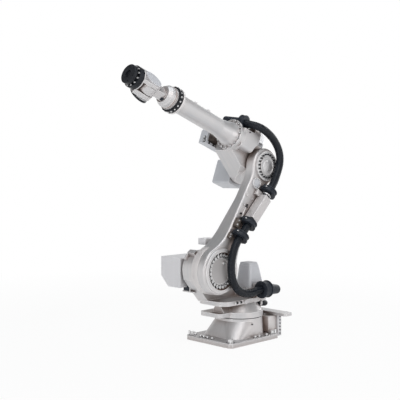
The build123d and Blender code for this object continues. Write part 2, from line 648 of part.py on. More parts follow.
def wrist_housing():
    side = Circle(CHEEK_RADIUS)
    half = CHEEK_NOSE_HALF
    nose = polygon((WEB_START, -half), (BARREL_FACE, -half), (BARREL_FACE, half), (WEB_START, half))
    outline = make_hull((side + nose).edges())
    body = side_plate(outline, TONGUE_PLUS + MOVE_GAP, CHEEK_PLUS)
    body += side_plate(outline, CHEEK_MINUS, TONGUE_MINUS - MOVE_GAP)
    body += block(WEB_START, BARREL_FACE, CHEEK_MINUS, CHEEK_PLUS, -WEB_HALF_HEIGHT, WEB_HALF_HEIGHT)
    body += disc_x(BARREL_RADIUS, BARREL_START, BARREL_FACE)
    body += disc_y(WRIST_BOSS_RADIUS, TONGUE_PLUS + RUN_GAP, TONGUE_PLUS + 2 * MOVE_GAP)
    body += disc_y(WRIST_BOSS_RADIUS, TONGUE_MINUS - 2 * MOVE_GAP, TONGUE_MINUS - RUN_GAP)
    return body


def tool_flange():
    start = ROLL_RING_END + RUN_GAP
    back = FLANGE_REACH - FLANGE_THICKNESS
    body = disc_x(ROLL_NECK_RADIUS, start, back) + disc_x(FLANGE_RADIUS, back, FLANGE_REACH)
    body = chamfer(edges_at(body, Axis.X, FLANGE_REACH), FLANGE_EDGE)
    body -= disc_x(PILOT_RADIUS, FLANGE_REACH - PILOT_DEPTH, FLANGE_REACH + 1)
    for spot in PolarLocations(TOOL_PCD / 2, TOOL_HOLE_COUNT):
        hole_y = spot.position.X
        hole_z = spot.position.Y
        body -= disc_x(TOOL_HOLE_RADIUS, FLANGE_REACH - TOOL_HOLE_DEPTH, FLANGE_REACH + 1, hole_y, hole_z)
    return body


# Hose, along hand-picked points of its route at rest

def hose_path(points):
    corners = [Vector(point) for point in points]
    radii = []
    for before, here, after in zip(corners, corners[1:], corners[2:]):
        run_in = here - before
        run_out = after - here
        half_turn = radians(run_in.get_angle(run_out)) / 2
        radii.append(HOSE_ARC_SHARE * min(run_in.length, run_out.length) / tan(half_turn))
    return FilletPolyline(*corners, radius=radii)


def hose(points):
    path = hose_path(points)
    ring = Plane(origin=path @ 0, z_dir=path % 0) * Circle(HOSE_RADIUS)
    return sweep(ring, path=path)


def ring_clamp(centre, toward, length, radius):
    """A split ring round the hose at centre, its axis along toward."""
    plane = Plane(origin=centre, z_dir=toward)
    ring = Circle(radius) - Circle(HOSE_RADIUS + SEAT_GAP)
    return extrude(plane * ring, length / 2, both=True)


def boot(base, toward, length, radius):
    """A tapered boot from base along toward."""
    body = Pos(0, 0, length / 2) * Cone(radius, radius * BOOT_TAPER, length)
    body = fillet(edges_at(body, Axis.Z, length), radius * BOOT_TAPER * BOOT_END)
    return Plane(origin=base, z_dir=toward) * body


def build_base():
    add("base_casting", base_casting())
    add("socket_box", socket_box())
    add("tray_plate", tray_plate())
    add("bearing_ring", disc_z(RING_RADIUS, BASE_HEIGHT, BASE_HEIGHT + RING_HEIGHT))


def build_swivel():
    add("swivel_casting", swivel_casting())
    reducer = disc_y(SHOULDER_REDUCER_RADIUS, TOWER_FACE, ARM_INNER - RUN_GAP, SHOULDER_X, SHOULDER_Z)
    add("shoulder_reducer", reducer)
    middle = SHOULDER_Z + (MOTOR2_RISE - MOTOR2_DROP) / 2
    flange = disc_y(MOTOR2_FLANGE_RADIUS, TOWER_INNER - MOTOR2_FLANGE, TOWER_INNER, SHOULDER_X, middle)
    add("shoulder_motor_flange", flange)
    add("shoulder_motor_cover", shoulder_motor_cover())
    add("swivel_motor_cover", swivel_motor_cover())
    add("swivel_motor_cap", swivel_motor_cap())
    pad = SHOULDER_Z + TOWER_RADIUS + PAD_RISE
    half = PAD_HALF_WIDTH - TOWER_BOX_INSET
    back = SHOULDER_X + PAD_BACK + TOWER_BOX_INSET
    front = SHOULDER_X + PAD_FRONT - TOWER_BOX_INSET
    box = block(back, front, PAD_SIDE - half, PAD_SIDE + half, pad, pad + TOWER_BOX_HEIGHT)
    add("tower_box", box)
    add("stop_block", stop_block())
    base_clamp = (BASE_CLAMP_X, HOSE_PLANE, BASE_CLAMP_Z)
    add("hose_base_clamp", ring_clamp(base_clamp, (1, 0, 0), BASE_CLAMP_LENGTH, BASE_CLAMP_RADIUS))
    add("hose_base_boot", base_boot())
    add("hose_base_bracket", base_bracket())


def build_arm():
    add("arm_casting", arm_casting(), ARM_FRAME)
    recess = ARM_OUTER - 2 * CAP2_DEPTH
    add("shoulder_cap", disc_y(CAP2_RADIUS, recess, recess + CAP2_DEPTH), ARM_FRAME)
    add("elbow_cap", disc_y(CAP3_RADIUS, ARM_OUTER, ARM_OUTER + CAP3_HEIGHT, 0, ARM_LENGTH), ARM_FRAME)
    access_z = ARM_LENGTH - ACCESS_BELOW
    access = disc_y(ACCESS_RADIUS, ARM_OUTER, ARM_OUTER + ACCESS_HEIGHT, ACCESS_X, access_z)
    add("access_cover", access, ARM_FRAME)
    add("hose_clamp_lower", arm_clamp(0))
    add("hose_clamp_middle", arm_clamp(HOSE_MIDDLE_SHARE))
    add("hose_clamp_upper", arm_clamp(1))
    add("hose_box", hose_box())


def build_upper_arm():
    add("elbow_casting", elbow_casting(), UPPER_FRAME)
    add("elbow_reducer", disc_y(ELBOW_REDUCER_RADIUS, ELBOW_INNER, ARM_NECK_INNER - RUN_GAP), UPPER_FRAME)
    add("elbow_motor_cover", elbow_motor_cover(), UPPER_FRAME)
    add("rear_cover", rear_cover(), UPPER_FRAME)
    add("wrist_motor_bracket", wrist_motor_bracket(), UPPER_FRAME)
    add("wrist_motor", wrist_motor(), UPPER_FRAME)
    add("elbow_hose_clamp", elbow_clamp(), UPPER_FRAME)
    tip = boot((0, 0, CLAMP_LENGTH / 2 + SEAT_GAP), (0, 0, 1), ELBOW_BOOT_LENGTH, ELBOW_BOOT_RADIUS)
    add("elbow_hose_boot", ELBOW_CLAMP_FRAME * tip, UPPER_FRAME)


def build_forearm():
    root = ROOT_FACE + RUN_GAP
    add("forearm_root_flange", disc_x(ROOT_RADIUS, root, root + ROOT_THICKNESS), FOREARM_FRAME)
    add("forearm_tube", forearm_tube(), FOREARM_FRAME)
    add("wrist_ring", disc_x(WRIST_RING_RADIUS, TUBE_END, TUBE_END + WRIST_RING_LENGTH), FOREARM_FRAME)
    add("wrist_sleeve", wrist_sleeve(), FOREARM_FRAME)


def build_wrist():
    add("wrist_housing", wrist_housing(), WRIST_FRAME)
    add("wrist_drum_cap", disc_y(DRUM_CAP_RADIUS, DRUM_CAP_OUT, CHEEK_MINUS), WRIST_FRAME)
    cover = disc_y(SIDE_COVER_RADIUS, CHEEK_PLUS, CHEEK_PLUS + SIDE_COVER_HEIGHT)
    add("wrist_side_cover", cover, WRIST_FRAME)
    add("roll_ring", disc_x(ROLL_RING_RADIUS, BARREL_FACE, ROLL_RING_END), WRIST_FRAME)
    add("tool_flange", tool_flange(), WRIST_FRAME)


def build_hose():
    clamp_back = BASE_CLAMP_X - BASE_CLAMP_LENGTH / 2
    run_end = clamp_back + 1.5 * CLAMP_RUN
    lower = [(clamp_back, HOSE_PLANE, BASE_CLAMP_Z), (run_end, HOSE_PLANE, BASE_CLAMP_Z)]
    lower += [(SHOULDER_X + dx, HOSE_PLANE, SHOULDER_Z + dz) for dx, dz in LOWER_BENDS]
    lower += [HOSE_LOW - HOSE_ALONG * CLAMP_RUN, HOSE_LOW]
    add("hose_lower_span", hose(lower))
    straight = Plane(origin=HOSE_LOW + HOSE_ALONG * RUN_GAP, z_dir=HOSE_ALONG) * Circle(HOSE_RADIUS)
    add("hose_arm_span", extrude(straight, (HOSE_HIGH - HOSE_LOW).length - RUN_GAP))
    entry = UPPER_FRAME * ELBOW_CLAMP_FRAME
    upper = [HOSE_HIGH + HOSE_ALONG * RUN_GAP, HOSE_HIGH + HOSE_ALONG * CLAMP_RUN]
    upper += [(ELBOW_X + dx, HOSE_PLANE + dy, ELBOW_Z + dz) for dx, dy, dz in UPPER_BENDS]
    upper += [(entry * Pos(0, 0, CLAMP_LENGTH / 2 - run)).position for run in (CLAMP_RUN, 0)]
    add("hose_upper_span", hose(upper))
    for name, route in (("lower", lower), ("upper", upper)):
        spots = [tuple(round(v, 1) for v in Vector(point)) for point in route]
        print(name, "hose", round(hose_path(route).length), spots)


def main():
    os.makedirs("parts", exist_ok=True)
    build_base()
    build_swivel()
    build_arm()
    build_upper_arm()
    build_forearm()
    build_wrist()
    build_hose()
    for name, shape in NODES.items():
        export_step(shape, f"parts/{name}.step")


main()
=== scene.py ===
# %% [markdown]
# This lesson dresses a floor-standing robot arm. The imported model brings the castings, covers and joints
# at their real size, and Blender adds what the eye looks for: paint, bolts, seams, hose and clamps.
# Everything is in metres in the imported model's own frame, so a new piece goes straight to its place.

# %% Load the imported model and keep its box
import json
from math import cos, pi, radians, sin

import bpy
from mathutils import Matrix, Vector


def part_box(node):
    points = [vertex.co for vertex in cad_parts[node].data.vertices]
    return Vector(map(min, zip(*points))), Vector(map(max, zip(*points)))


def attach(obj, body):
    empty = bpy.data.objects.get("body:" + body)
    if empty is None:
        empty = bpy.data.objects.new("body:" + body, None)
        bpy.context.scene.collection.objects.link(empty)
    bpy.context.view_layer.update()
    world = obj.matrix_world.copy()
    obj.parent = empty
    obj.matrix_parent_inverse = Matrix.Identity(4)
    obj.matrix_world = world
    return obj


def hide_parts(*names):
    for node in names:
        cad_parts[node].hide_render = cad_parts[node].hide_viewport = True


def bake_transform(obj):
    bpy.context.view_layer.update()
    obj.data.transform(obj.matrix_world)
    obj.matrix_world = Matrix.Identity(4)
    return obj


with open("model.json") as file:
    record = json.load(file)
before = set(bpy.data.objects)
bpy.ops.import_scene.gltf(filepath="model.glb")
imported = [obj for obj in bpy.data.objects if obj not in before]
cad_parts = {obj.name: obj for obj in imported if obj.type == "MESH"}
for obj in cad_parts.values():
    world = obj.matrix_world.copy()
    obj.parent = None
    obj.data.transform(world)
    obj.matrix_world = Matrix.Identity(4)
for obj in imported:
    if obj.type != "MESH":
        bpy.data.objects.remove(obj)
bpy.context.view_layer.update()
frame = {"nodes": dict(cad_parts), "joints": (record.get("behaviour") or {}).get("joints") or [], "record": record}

nodes = frame["nodes"]

# %% [markdown]
# Each part of the arm leans its own way, so bolts and covers are easier to place in that part's own axes.
# The angles could be typed in, but the joints in the record already hold the pivots and the directions,
# so the frames of the lower arm, the upper arm, the forearm and the wrist follow from them.

# %% Frames that lean with the parts
joints = {joint["name"]: joint for joint in frame["joints"]}
SIDE = Vector((0, 1, 0))
ROOT_FACE = 0.385


def pivot(name):
    return Vector(joints[name]["pos_m"])


def turning_axis(name):
    return Vector(joints[name]["axis"]).normalized()


def axes(origin, x_dir, y_dir):
    """A matrix with its origin and first two axes given."""
    z_dir = x_dir.cross(y_dir)
    turn = Matrix((x_dir, y_dir, z_dir)).transposed()
    return Matrix.Translation(origin) @ turn.to_4x4()


shoulder = pivot("shoulder_bend")
elbow = pivot("elbow_bend")
arm_length = (elbow - shoulder).length
arm_up = (elbow - shoulder).normalized()
reach = turning_axis("forearm_roll")
wrist_side = turning_axis("wrist_bend")
world_frame = Matrix.Identity(4)
arm_frame = axes(shoulder, SIDE.cross(arm_up), SIDE)
upper_frame = axes(elbow, reach, SIDE)
forearm_frame = axes(pivot("forearm_roll") - reach * ROOT_FACE, reach, wrist_side)
wrist_frame = axes(pivot("wrist_bend"), reach, wrist_side)
print("lower arm", round(arm_length, 3), "m between its axes")

# %% [markdown]
# The camera stands where the photograph's stood: in front of the arm and to its left, at chest height, with
# a longish lens. It could be set by eye, but its place was worked out from edges of the object whose size
# is known, so that each flange falls on its own spot of the picture.

# %% Camera
CAMERA_PLACE = (5.0985, 4.6440, 1.4992)
CAMERA_TILT = 87.738
CAMERA_TURN = 135.217
CAMERA_LENS = 69.79
FILM_WIDTH = 36.0

camera_data = bpy.data.cameras.new("photo_camera")
camera_data.lens = CAMERA_LENS
camera_data.sensor_width = FILM_WIDTH
camera = bpy.data.objects.new("photo_camera", camera_data)
camera.location = CAMERA_PLACE
camera.rotation_euler = (radians(CAMERA_TILT), 0, radians(CAMERA_TURN))
bpy.context.scene.collection.objects.link(camera)
bpy.context.scene.camera = camera
bpy.context.scene.view_settings.view_transform = "Standard"
print("camera", [round(v, 2) for v in camera.location], "lens", CAMERA_LENS)

# %% [markdown]
# Paint, rubber and steel are written as small sums. Nodes could be added and joined one by one, but then the
# formula is hard to see. Here a wire is one socket of a node tree, and Python's own signs on it add Math
# nodes, so a line of code reads like the formula that it stands for.

# %% Wires and node trees
class Wire:
    """One output socket, with Python's operators for its maths."""

    def __init__(self, sheet, socket):
        self.sheet = sheet
        self.socket = socket

    def sums(self, operation, left, right):
        return self.sheet.node("ShaderNodeMath", {"operation": operation}, {0: left, 1: right})

    def __add__(self, other):
        return self.sums("ADD", self, other)

    def __radd__(self, other):
        return self.sums("ADD", other, self)

    def __sub__(self, other):
        return self.sums("SUBTRACT", self, other)

    def __rsub__(self, other):
        return self.sums("SUBTRACT", other, self)

    def __mul__(self, other):
        return self.sums("MULTIPLY", self, other)

    def __rmul__(self, other):
        return self.sums("MULTIPLY", other, self)


class Sheet:
    """A node tree that is filled one node at a time."""

    def __init__(self, tree):
        self.tree = tree

    def plug(self, socket, value):
        if isinstance(value, Wire):
            self.tree.links.new(value.socket, socket)
        else:
            socket.default_value = value

    def node(self, kind, settings=None, sockets=None, out=0):
        made = self.tree.nodes.new(kind)
        for key, value in (settings or {}).items():
            setattr(made, key, value)
        for key, value in (sockets or {}).items():
            self.plug(made.inputs[key], value)
        return Wire(self, made.outputs[out])

    def mix(self, share, first, second):
        """Blend two colours by a share from 0 to 1."""
        pair = {"Factor": share, 6: first, 7: second}
        return self.node("ShaderNodeMix", {"data_type": "RGBA"}, pair, out=2)

    def ramp(self, value, low, high):
        """0 at low, 1 at high, and straight between."""
        limits = {"Value": value, "From Min": low, "From Max": high}
        return self.node("ShaderNodeMapRange", {}, limits)

    def dot(self, first, second):
        """How well two directions agree, 1 at best."""
        pair = {0: first, 1: second}
        return self.node("ShaderNodeVectorMath", {"operation": "DOT_PRODUCT"}, pair, out="Value")


print("wires ready")

# %% [markdown]
# The studio is plain. The camera and the reflections see a white surround, and a milder one lights the
# object: bright at the height of the walls, dark overhead, and dimmer on the side away from the window.
# A picture of a room could do this, but two soft fades need no image and are easy to change.

# %% Surround
WHITE = (1, 1, 1, 1)
COOL_WHITE = (0.96, 0.98, 1.0, 1)
WALL_LIGHT = 1.24
CEILING_LIGHT = 0.12
WALL_FADE = (0.02, 0.55)
WHITE_FADE = (0.22, 0.60)
DIM_SIDE = 0.40
WINDOW_SIDE = (0.30, 0.954, 0.0)
WINDOW_FADE = (-0.4, 0.9)


def looked_at(sheet):
    """1 for what the camera sees, also in a reflection or through glass."""
    seen = sheet.node("ShaderNodeLightPath", out="Is Camera Ray")
    seen = seen + sheet.node("ShaderNodeLightPath", out="Is Glossy Ray")
    return seen + sheet.node("ShaderNodeLightPath", out="Is Transmission Ray")


def fade(sheet, value, limits, start, end):
    """A soft step from start to end while the value runs between the limits."""
    span = {"Value": value, "From Min": limits[0], "From Max": limits[1], "To Min": start, "To Max": end}
    return sheet.node("ShaderNodeMapRange", {"interpolation_type": "SMOOTHSTEP"}, span)


world = bpy.data.worlds.new("studio")
bpy.context.scene.world = world
world.use_nodes = True
sky = Sheet(world.node_tree)
looking = sky.node("ShaderNodeTexCoord", out="Generated")
upward = sky.node("ShaderNodeSeparateXYZ", {}, {0: looking}, out="Z")
window = sky.ramp(sky.dot(looking, WINDOW_SIDE), *WINDOW_FADE)
walls = fade(sky, upward, WALL_FADE, WALL_LIGHT, CEILING_LIGHT)
walls = walls * (DIM_SIDE + (1 - DIM_SIDE) * window)
light = sky.node("ShaderNodeBackground", {}, {"Color": COOL_WHITE, "Strength": walls})
backdrop = fade(sky, upward, WHITE_FADE, 1.0, CEILING_LIGHT)
white = sky.node("ShaderNodeBackground", {}, {"Color": WHITE, "Strength": backdrop})
both = sky.node("ShaderNodeMixShader", {}, {0: looked_at(sky), 1: light, 2: white})
sky.tree.links.new(both.socket, sky.tree.nodes["World Output"].inputs["Surface"])
print("surround from", WALL_LIGHT, "at the walls to", CEILING_LIGHT, "overhead")

# %% [markdown]
# The floor is a pale disc. A lit floor alone would show its rim and its falling light, so the camera sees it
# mostly as a white glow, with just enough of the lit floor near the object to keep the soft shadow. The light
# that it throws back at the object comes mostly from the lit floor.

# %% Floor
FLOOR_RADIUS = 7.0
FLOOR_SIDES = 96
FLOOR_GREYS = ((0.88, 0.88, 0.88, 1), (0.92, 0.92, 0.92, 1))
FLOOR_GRAIN = 30.0
FLOOR_ROUGHNESS = 0.9
FLOOR_WHITE = 0.93
FLOOR_BOUNCE = 0.14
FADE_START = 2.2
FADE_END = 5.0

bpy.ops.object.select_all(action="DESELECT")
bpy.ops.mesh.primitive_circle_add(vertices=FLOOR_SIDES, radius=FLOOR_RADIUS, fill_type="NGON")
floor = bpy.context.object
floor.name = "floor"
floor_paint = bpy.data.materials.new("floor_paint")
floor_paint.use_nodes = True
ground = Sheet(floor_paint.node_tree)
ground_shader = ground.tree.nodes["Principled BSDF"]
ground_shader.inputs["Roughness"].default_value = FLOOR_ROUGHNESS
ground_shader.inputs["Specular IOR Level"].default_value = 0.0
place = ground.node("ShaderNodeTexCoord", out="Object")
away = ground.node("ShaderNodeVectorMath", {"operation": "LENGTH"}, {0: place}, out="Value")
grain = ground.node("ShaderNodeTexNoise", {}, {"Vector": place, "Scale": FLOOR_GRAIN, "Detail": 4.0})
ground.plug(ground_shader.inputs["Base Color"], ground.mix(grain, *FLOOR_GREYS))
seen = looked_at(ground)
glow = ground.node("ShaderNodeEmission", {}, {"Color": WHITE, "Strength": 1.0})
lit = Wire(ground, ground_shader.outputs["BSDF"])
near = ground.ramp(away, FADE_END, FADE_START)
share = seen * (1 - near * (1 - FLOOR_WHITE)) + (1 - seen) * FLOOR_BOUNCE
pale = ground.node("ShaderNodeMixShader", {}, {0: share, 1: lit, 2: glow})
ground.tree.links.new(pale.socket, ground.tree.nodes["Material Output"].inputs["Surface"])
floor.data.materials.append(floor_paint)
print("floor fades from", FADE_START, "to", FADE_END, "m")

# %% [markdown]
# Soft lamps shape the castings: two high in front, a wide one overhead, one at the right and one behind.
# A thin strip on the left draws the bright line along the hose. Small lamps would burn white spots into the
# paint, so all but the strip are metres wide. Their strengths were tried against the photograph's tones.

# %% Lamps
WARM = (1.0, 0.955, 0.935)
PALE_WARM = (1.0, 0.965, 0.95)
COOL = (0.90, 0.96, 1.0)
NEUTRAL = (1, 1, 1)
MIDDLE = (0.2, 0.0, 1.2)
# name, place, the point it is aimed at, width and height, watts, colour
LAMPS = [
    ("front_lamp", (2.54, 4.40, 5.38), MIDDLE, (3.6, 3.6), 90, WARM),
    ("side_lamp", (-0.59, 6.43, 1.77), MIDDLE, (2.4, 2.4), 38, PALE_WARM),
    ("top_lamp", (0.6, 0.5, 9.5), (0.1, 0.1, 0.2), (7.6, 7.6), 300, COOL),
    ("slant_lamp", (3.2, 3.0, 8.6), (0.1, 0.1, 0.6), (6.6, 6.6), 125, NEUTRAL),
    ("rim_lamp", (-5.67, -1.25, 2.4), MIDDLE, (4.4, 4.4), 105, NEUTRAL),
    ("strip_lamp", (5.8, 1.2, 1.6), MIDDLE, (0.6, 3.4), 36, NEUTRAL),
]

for name, place, aim, size, watts, colour in LAMPS:
    data = bpy.data.lights.new(name, "AREA")
    data.shape = "RECTANGLE"
    data.size, data.size_y = size
    data.energy = watts
    data.color = colour
    lamp = bpy.data.objects.new(name, data)
    lamp.location = place
    lamp.rotation_euler = (Vector(aim) - Vector(place)).to_track_quat("-Z", "Y").to_euler()
    bpy.context.scene.collection.objects.link(lamp)
print(len(LAMPS), "lamps")

# %% [markdown]
# Every finish here starts as a plain shader with its constants set on its own sockets, and small helpers give it
# what changes over the surface. A painted highlight on the edges and painted shade in the corners could be painted
# by hand, but the Bevel node finds the edges and the Ambient Occlusion node the corners, so one paint fits every
# shape.

# %% Helpers for finishes
EDGE_SAMPLES = 4
EDGE_TURN = (0.999, 0.90)
CORNER_SAMPLES = 6
CORNER_OPEN = (0.75, 0.20)
CLOUD_SPAN = (0.3, 0.7)


def new_finish(name, roughness, metallic=0.0, specular=0.5, coat=0.0):
    """A new material whose constant sockets are set at once."""
    material = bpy.data.materials.new(name)
    material.use_nodes = True
    sheet = Sheet(material.node_tree)
    shader = sheet.tree.nodes["Principled BSDF"]
    shader.inputs["Roughness"].default_value = roughness
    shader.inputs["Metallic"].default_value = metallic
    shader.inputs["Specular IOR Level"].default_value = specular
    shader.inputs["Coat Weight"].default_value = coat
    return material, sheet, shader.inputs


def noise(sheet, scale, detail=3.0):
    place = sheet.node("ShaderNodeTexCoord", out="Object")
    return sheet.node("ShaderNodeTexNoise", {}, {"Vector": place, "Scale": scale, "Detail": detail})


def edge_normal(sheet, radius):
    return sheet.node("ShaderNodeBevel", {"samples": EDGE_SAMPLES}, {"Radius": radius})


def bump(sheet, height, strength, distance, rounding):
    """A fine bump on top of edges that look rounded."""
    sockets = {"Strength": strength, "Distance": distance, "Height": height}
    sockets["Normal"] = edge_normal(sheet, rounding)
    return sheet.node("ShaderNodeBump", {}, sockets)


def edges(sheet, radius):
    """1 along the edges of a shape, 0 on its flats."""
    rounded = edge_normal(sheet, radius)
    flat = sheet.node("ShaderNodeNewGeometry", out="Normal")
    return sheet.ramp(sheet.dot(rounded, flat), *EDGE_TURN)


def corners(sheet, distance):
    """1 deep in corners and gaps, where shade falls, 0 in the open."""
    settings = {"samples": CORNER_SAMPLES, "only_local": False}
    open_share = sheet.node("ShaderNodeAmbientOcclusion", settings, {"Distance": distance}, out="AO")
    return sheet.ramp(open_share, *CORNER_OPEN)


print("finish helpers ready")

# %% [markdown]
# The castings wear a warm silver paint. It is thick enough to round the edges a little. A painted highlight
# brightens its edges, and painted shade makes its corners greyer and browner. The covers are smoother and greyer,
# a few rims and bands are paler, and the sheet-metal boxes are brighter. All five differ only in colour and gloss,
# so one function makes them.

# %% Paint on castings and covers
PAINT_COAT = 0.12
CLOUD_SCALE = 5.0
CLOUD_SHARE = 0.55
STREAK_STRETCH = (3.0, 60.0, 3.0)
SHADE_REACH = 0.12
SHADE_SHARE = 0.85
HIGHLIGHT_WIDTH = 0.009
HIGHLIGHT_SHARE = 0.9
GLOSS_SCALE = 40.0
GLOSS_SPREAD = 0.12
PEEL_SCALE = 220.0
PEEL_DEPTH = 0.0008
PAINT_ROUNDING = 0.004


# The edge colour is a painted highlight along the edges, and the colour after it is painted shade in corners and
# gaps.
def paint(name, light, dark, edge, corner_shade, roughness, metallic, grain):
    material, sheet, sockets = new_finish(name, roughness, metallic, coat=PAINT_COAT)
    place = sheet.node("ShaderNodeTexCoord", out="Object")
    drawn = sheet.node("ShaderNodeMapping", {}, {"Vector": place, "Scale": STREAK_STRETCH})
    streak = sheet.node("ShaderNodeTexNoise", {}, {"Vector": drawn, "Scale": 1.0, "Detail": 2.0})
    cloud = CLOUD_SHARE * noise(sheet, CLOUD_SCALE) + (1 - CLOUD_SHARE) * streak
    colour = sheet.mix(sheet.ramp(cloud, *CLOUD_SPAN), dark, light)
    # painted shade: corners and gaps, where shade falls, turn greyer and browner
    colour = sheet.mix(corners(sheet, SHADE_REACH) * SHADE_SHARE, colour, corner_shade)
    # painted highlight: the edges turn brighter, standing for the shine on rounded edges
    colour = sheet.mix(edges(sheet, HIGHLIGHT_WIDTH) * HIGHLIGHT_SHARE, colour, edge)
    sheet.plug(sockets["Base Color"], colour)
    sheet.plug(sockets["Roughness"], roughness + GLOSS_SPREAD * (noise(sheet, GLOSS_SCALE) - 0.5))
    peel = noise(sheet, PEEL_SCALE, 2.0)
    sheet.plug(sockets["Normal"], bump(sheet, peel, grain, PEEL_DEPTH, PAINT_ROUNDING))
    return material


# In each paint below, the edge colour is a painted highlight and the last colour is painted shade.
cast_paint = paint("cast_paint", light=(0.65, 0.622, 0.618, 1), dark=(0.545, 0.55, 0.562, 1),
                   edge=(0.93, 0.92, 0.92, 1), corner_shade=(0.22, 0.14, 0.105, 1),
                   roughness=0.46, metallic=0.74, grain=0.25)
cover_paint = paint("cover_paint", light=(0.60, 0.61, 0.64, 1), dark=(0.56, 0.57, 0.60, 1),
                    edge=(0.82, 0.82, 0.84, 1), corner_shade=(0.26, 0.25, 0.25, 1),
                    roughness=0.42, metallic=0.20, grain=0.15)
pale_paint = paint("pale_paint", light=(0.75, 0.74, 0.76, 1), dark=(0.71, 0.705, 0.72, 1),
                   edge=(0.86, 0.86, 0.87, 1), corner_shade=(0.34, 0.33, 0.33, 1),
                   roughness=0.42, metallic=0.10, grain=0.15)
# a paler paint for trim; on the hub's band it paints a highlight
pale_trim_paint = paint("pale_trim_paint", light=(0.74, 0.70, 0.69, 1), dark=(0.64, 0.62, 0.615, 1),
                     edge=(0.93, 0.92, 0.92, 1), corner_shade=(0.30, 0.20, 0.16, 1),
                     roughness=0.45, metallic=0.25, grain=0.20)
bright_sheet = paint("bright_sheet", light=(0.60, 0.575, 0.57, 1), dark=(0.53, 0.515, 0.515, 1),
                     edge=(0.95, 0.94, 0.94, 1), corner_shade=(0.30, 0.26, 0.25, 1),
                     roughness=0.36, metallic=0.30, grain=0.10)
print("five paints: castings, covers, pale covers, rubbed rims and sheet metal")

# %% [markdown]
# The rest of the finishes cover small areas: blackened steel on the rings, zinc and black oxide on screws, black
# plastic on clamps and boots, rubber on the hose, machined faces, and two browns that paint shade. The dark one
# goes on the wrist motor and two clamp feet, and the redder one on thin rings in a recess and between turned
# steps. They need no painted edge highlights at this size, so each wanders between two colours, with a fine bump.

# %% Metals, plastic and rubber
FINE_TIMES = 12.0
FINE_DEPTH = 0.0006
FINE_ROUNDING = 0.002
FINE_SPREAD = 0.15


def plain(name, low, high, roughness, scale, grain, metallic=0.0, specular=0.5):
    """A finish that wanders between two colours, with a fine bump."""
    material, sheet, sockets = new_finish(name, roughness, metallic, specular)
    cloud = noise(sheet, scale)
    sheet.plug(sockets["Base Color"], sheet.mix(sheet.ramp(cloud, *CLOUD_SPAN), low, high))
    sheet.plug(sockets["Roughness"], roughness + FINE_SPREAD * (cloud - 0.5))
    fine = noise(sheet, scale * FINE_TIMES)
    sheet.plug(sockets["Normal"], bump(sheet, fine, grain, FINE_DEPTH, FINE_ROUNDING))
    return material


black_steel = plain("black_steel", low=(0.008, 0.009, 0.012, 1), high=(0.018, 0.020, 0.025, 1),
                    roughness=0.34, scale=30.0, grain=0.2, metallic=0.1, specular=0.22)
zinc = plain("zinc", low=(0.66, 0.66, 0.67, 1), high=(0.80, 0.80, 0.80, 1),
             roughness=0.28, scale=60.0, grain=0.15, metallic=0.9)
black_oxide = plain("black_oxide", low=(0.02, 0.02, 0.022, 1), high=(0.045, 0.043, 0.045, 1),
                    roughness=0.4, scale=60.0, grain=0.15, metallic=0.4)
black_plastic = plain("black_plastic", low=(0.016, 0.020, 0.028, 1), high=(0.030, 0.035, 0.045, 1),
                      roughness=0.42, scale=25.0, grain=0.3, specular=0.22)
rubber = plain("hose_rubber", low=(0.004, 0.006, 0.010, 1), high=(0.009, 0.012, 0.018, 1),
               roughness=0.26, scale=18.0, grain=0.10, specular=0.24)
machined = plain("machined", low=(0.58, 0.58, 0.59, 1), high=(0.70, 0.70, 0.71, 1),
                 roughness=0.30, scale=45.0, grain=0.15, metallic=0.7)
# painted shade: this dark brown stands for the shade on the wrist motor in its bracket's window and on two clamp
# feet
shade_brown = plain("shade_brown", low=(0.085, 0.07, 0.06, 1), high=(0.15, 0.125, 0.11, 1),
                    roughness=0.45, scale=30.0, grain=0.2, metallic=0.3, specular=0.4)
# painted shade: this red-brown stands for the shade in the shoulder recess and between the sleeve's turned steps
recess_shade_brown = plain("recess_shade_brown", low=(0.20, 0.12, 0.09, 1), high=(0.27, 0.17, 0.13, 1),
                   roughness=0.5, scale=40.0, grain=0.2, specular=0.3)
print("eight smaller finishes")

# %% [markdown]
# The castings and covers keep their imported shapes, so they only need their finish. Each could be named one by
# one, but the record already says which slot a node takes its finish from. A few nodes look different from the
# rest of their slot on the real arm, and those are named here. The wrist motor's dark brown also paints the shade
# in its bracket's window.

# %% Dress the imported nodes
by_slot = {"cast_paint": cast_paint, "cover_paint": cover_paint, "dark_metal": black_steel,
           "black_plastic": black_plastic, "hose": rubber}
# the wrist motor's dark brown partly paints the shade in its bracket's window
special = {"hose_box": bright_sheet, "shoulder_motor_cover": pale_paint, "wrist_motor": shade_brown,
           "socket_box": pale_paint, "elbow_cap": machined}
for row in frame["record"]["subparts"]:
    node = nodes[row["node"]]
    node.data.materials.clear()
    node.data.materials.append(special.get(node.name, by_slot[row["material_slot"]]))

# %% [markdown]
# A black corrugated hose carries the cables past the joints, in three stretches: past the shoulder, along
# the arm, and round the elbow. Its line could be drawn with straight runs and arcs, but a real hose bends
# evenly, so each stretch is a smooth NURBS curve with the route's points as its control points.

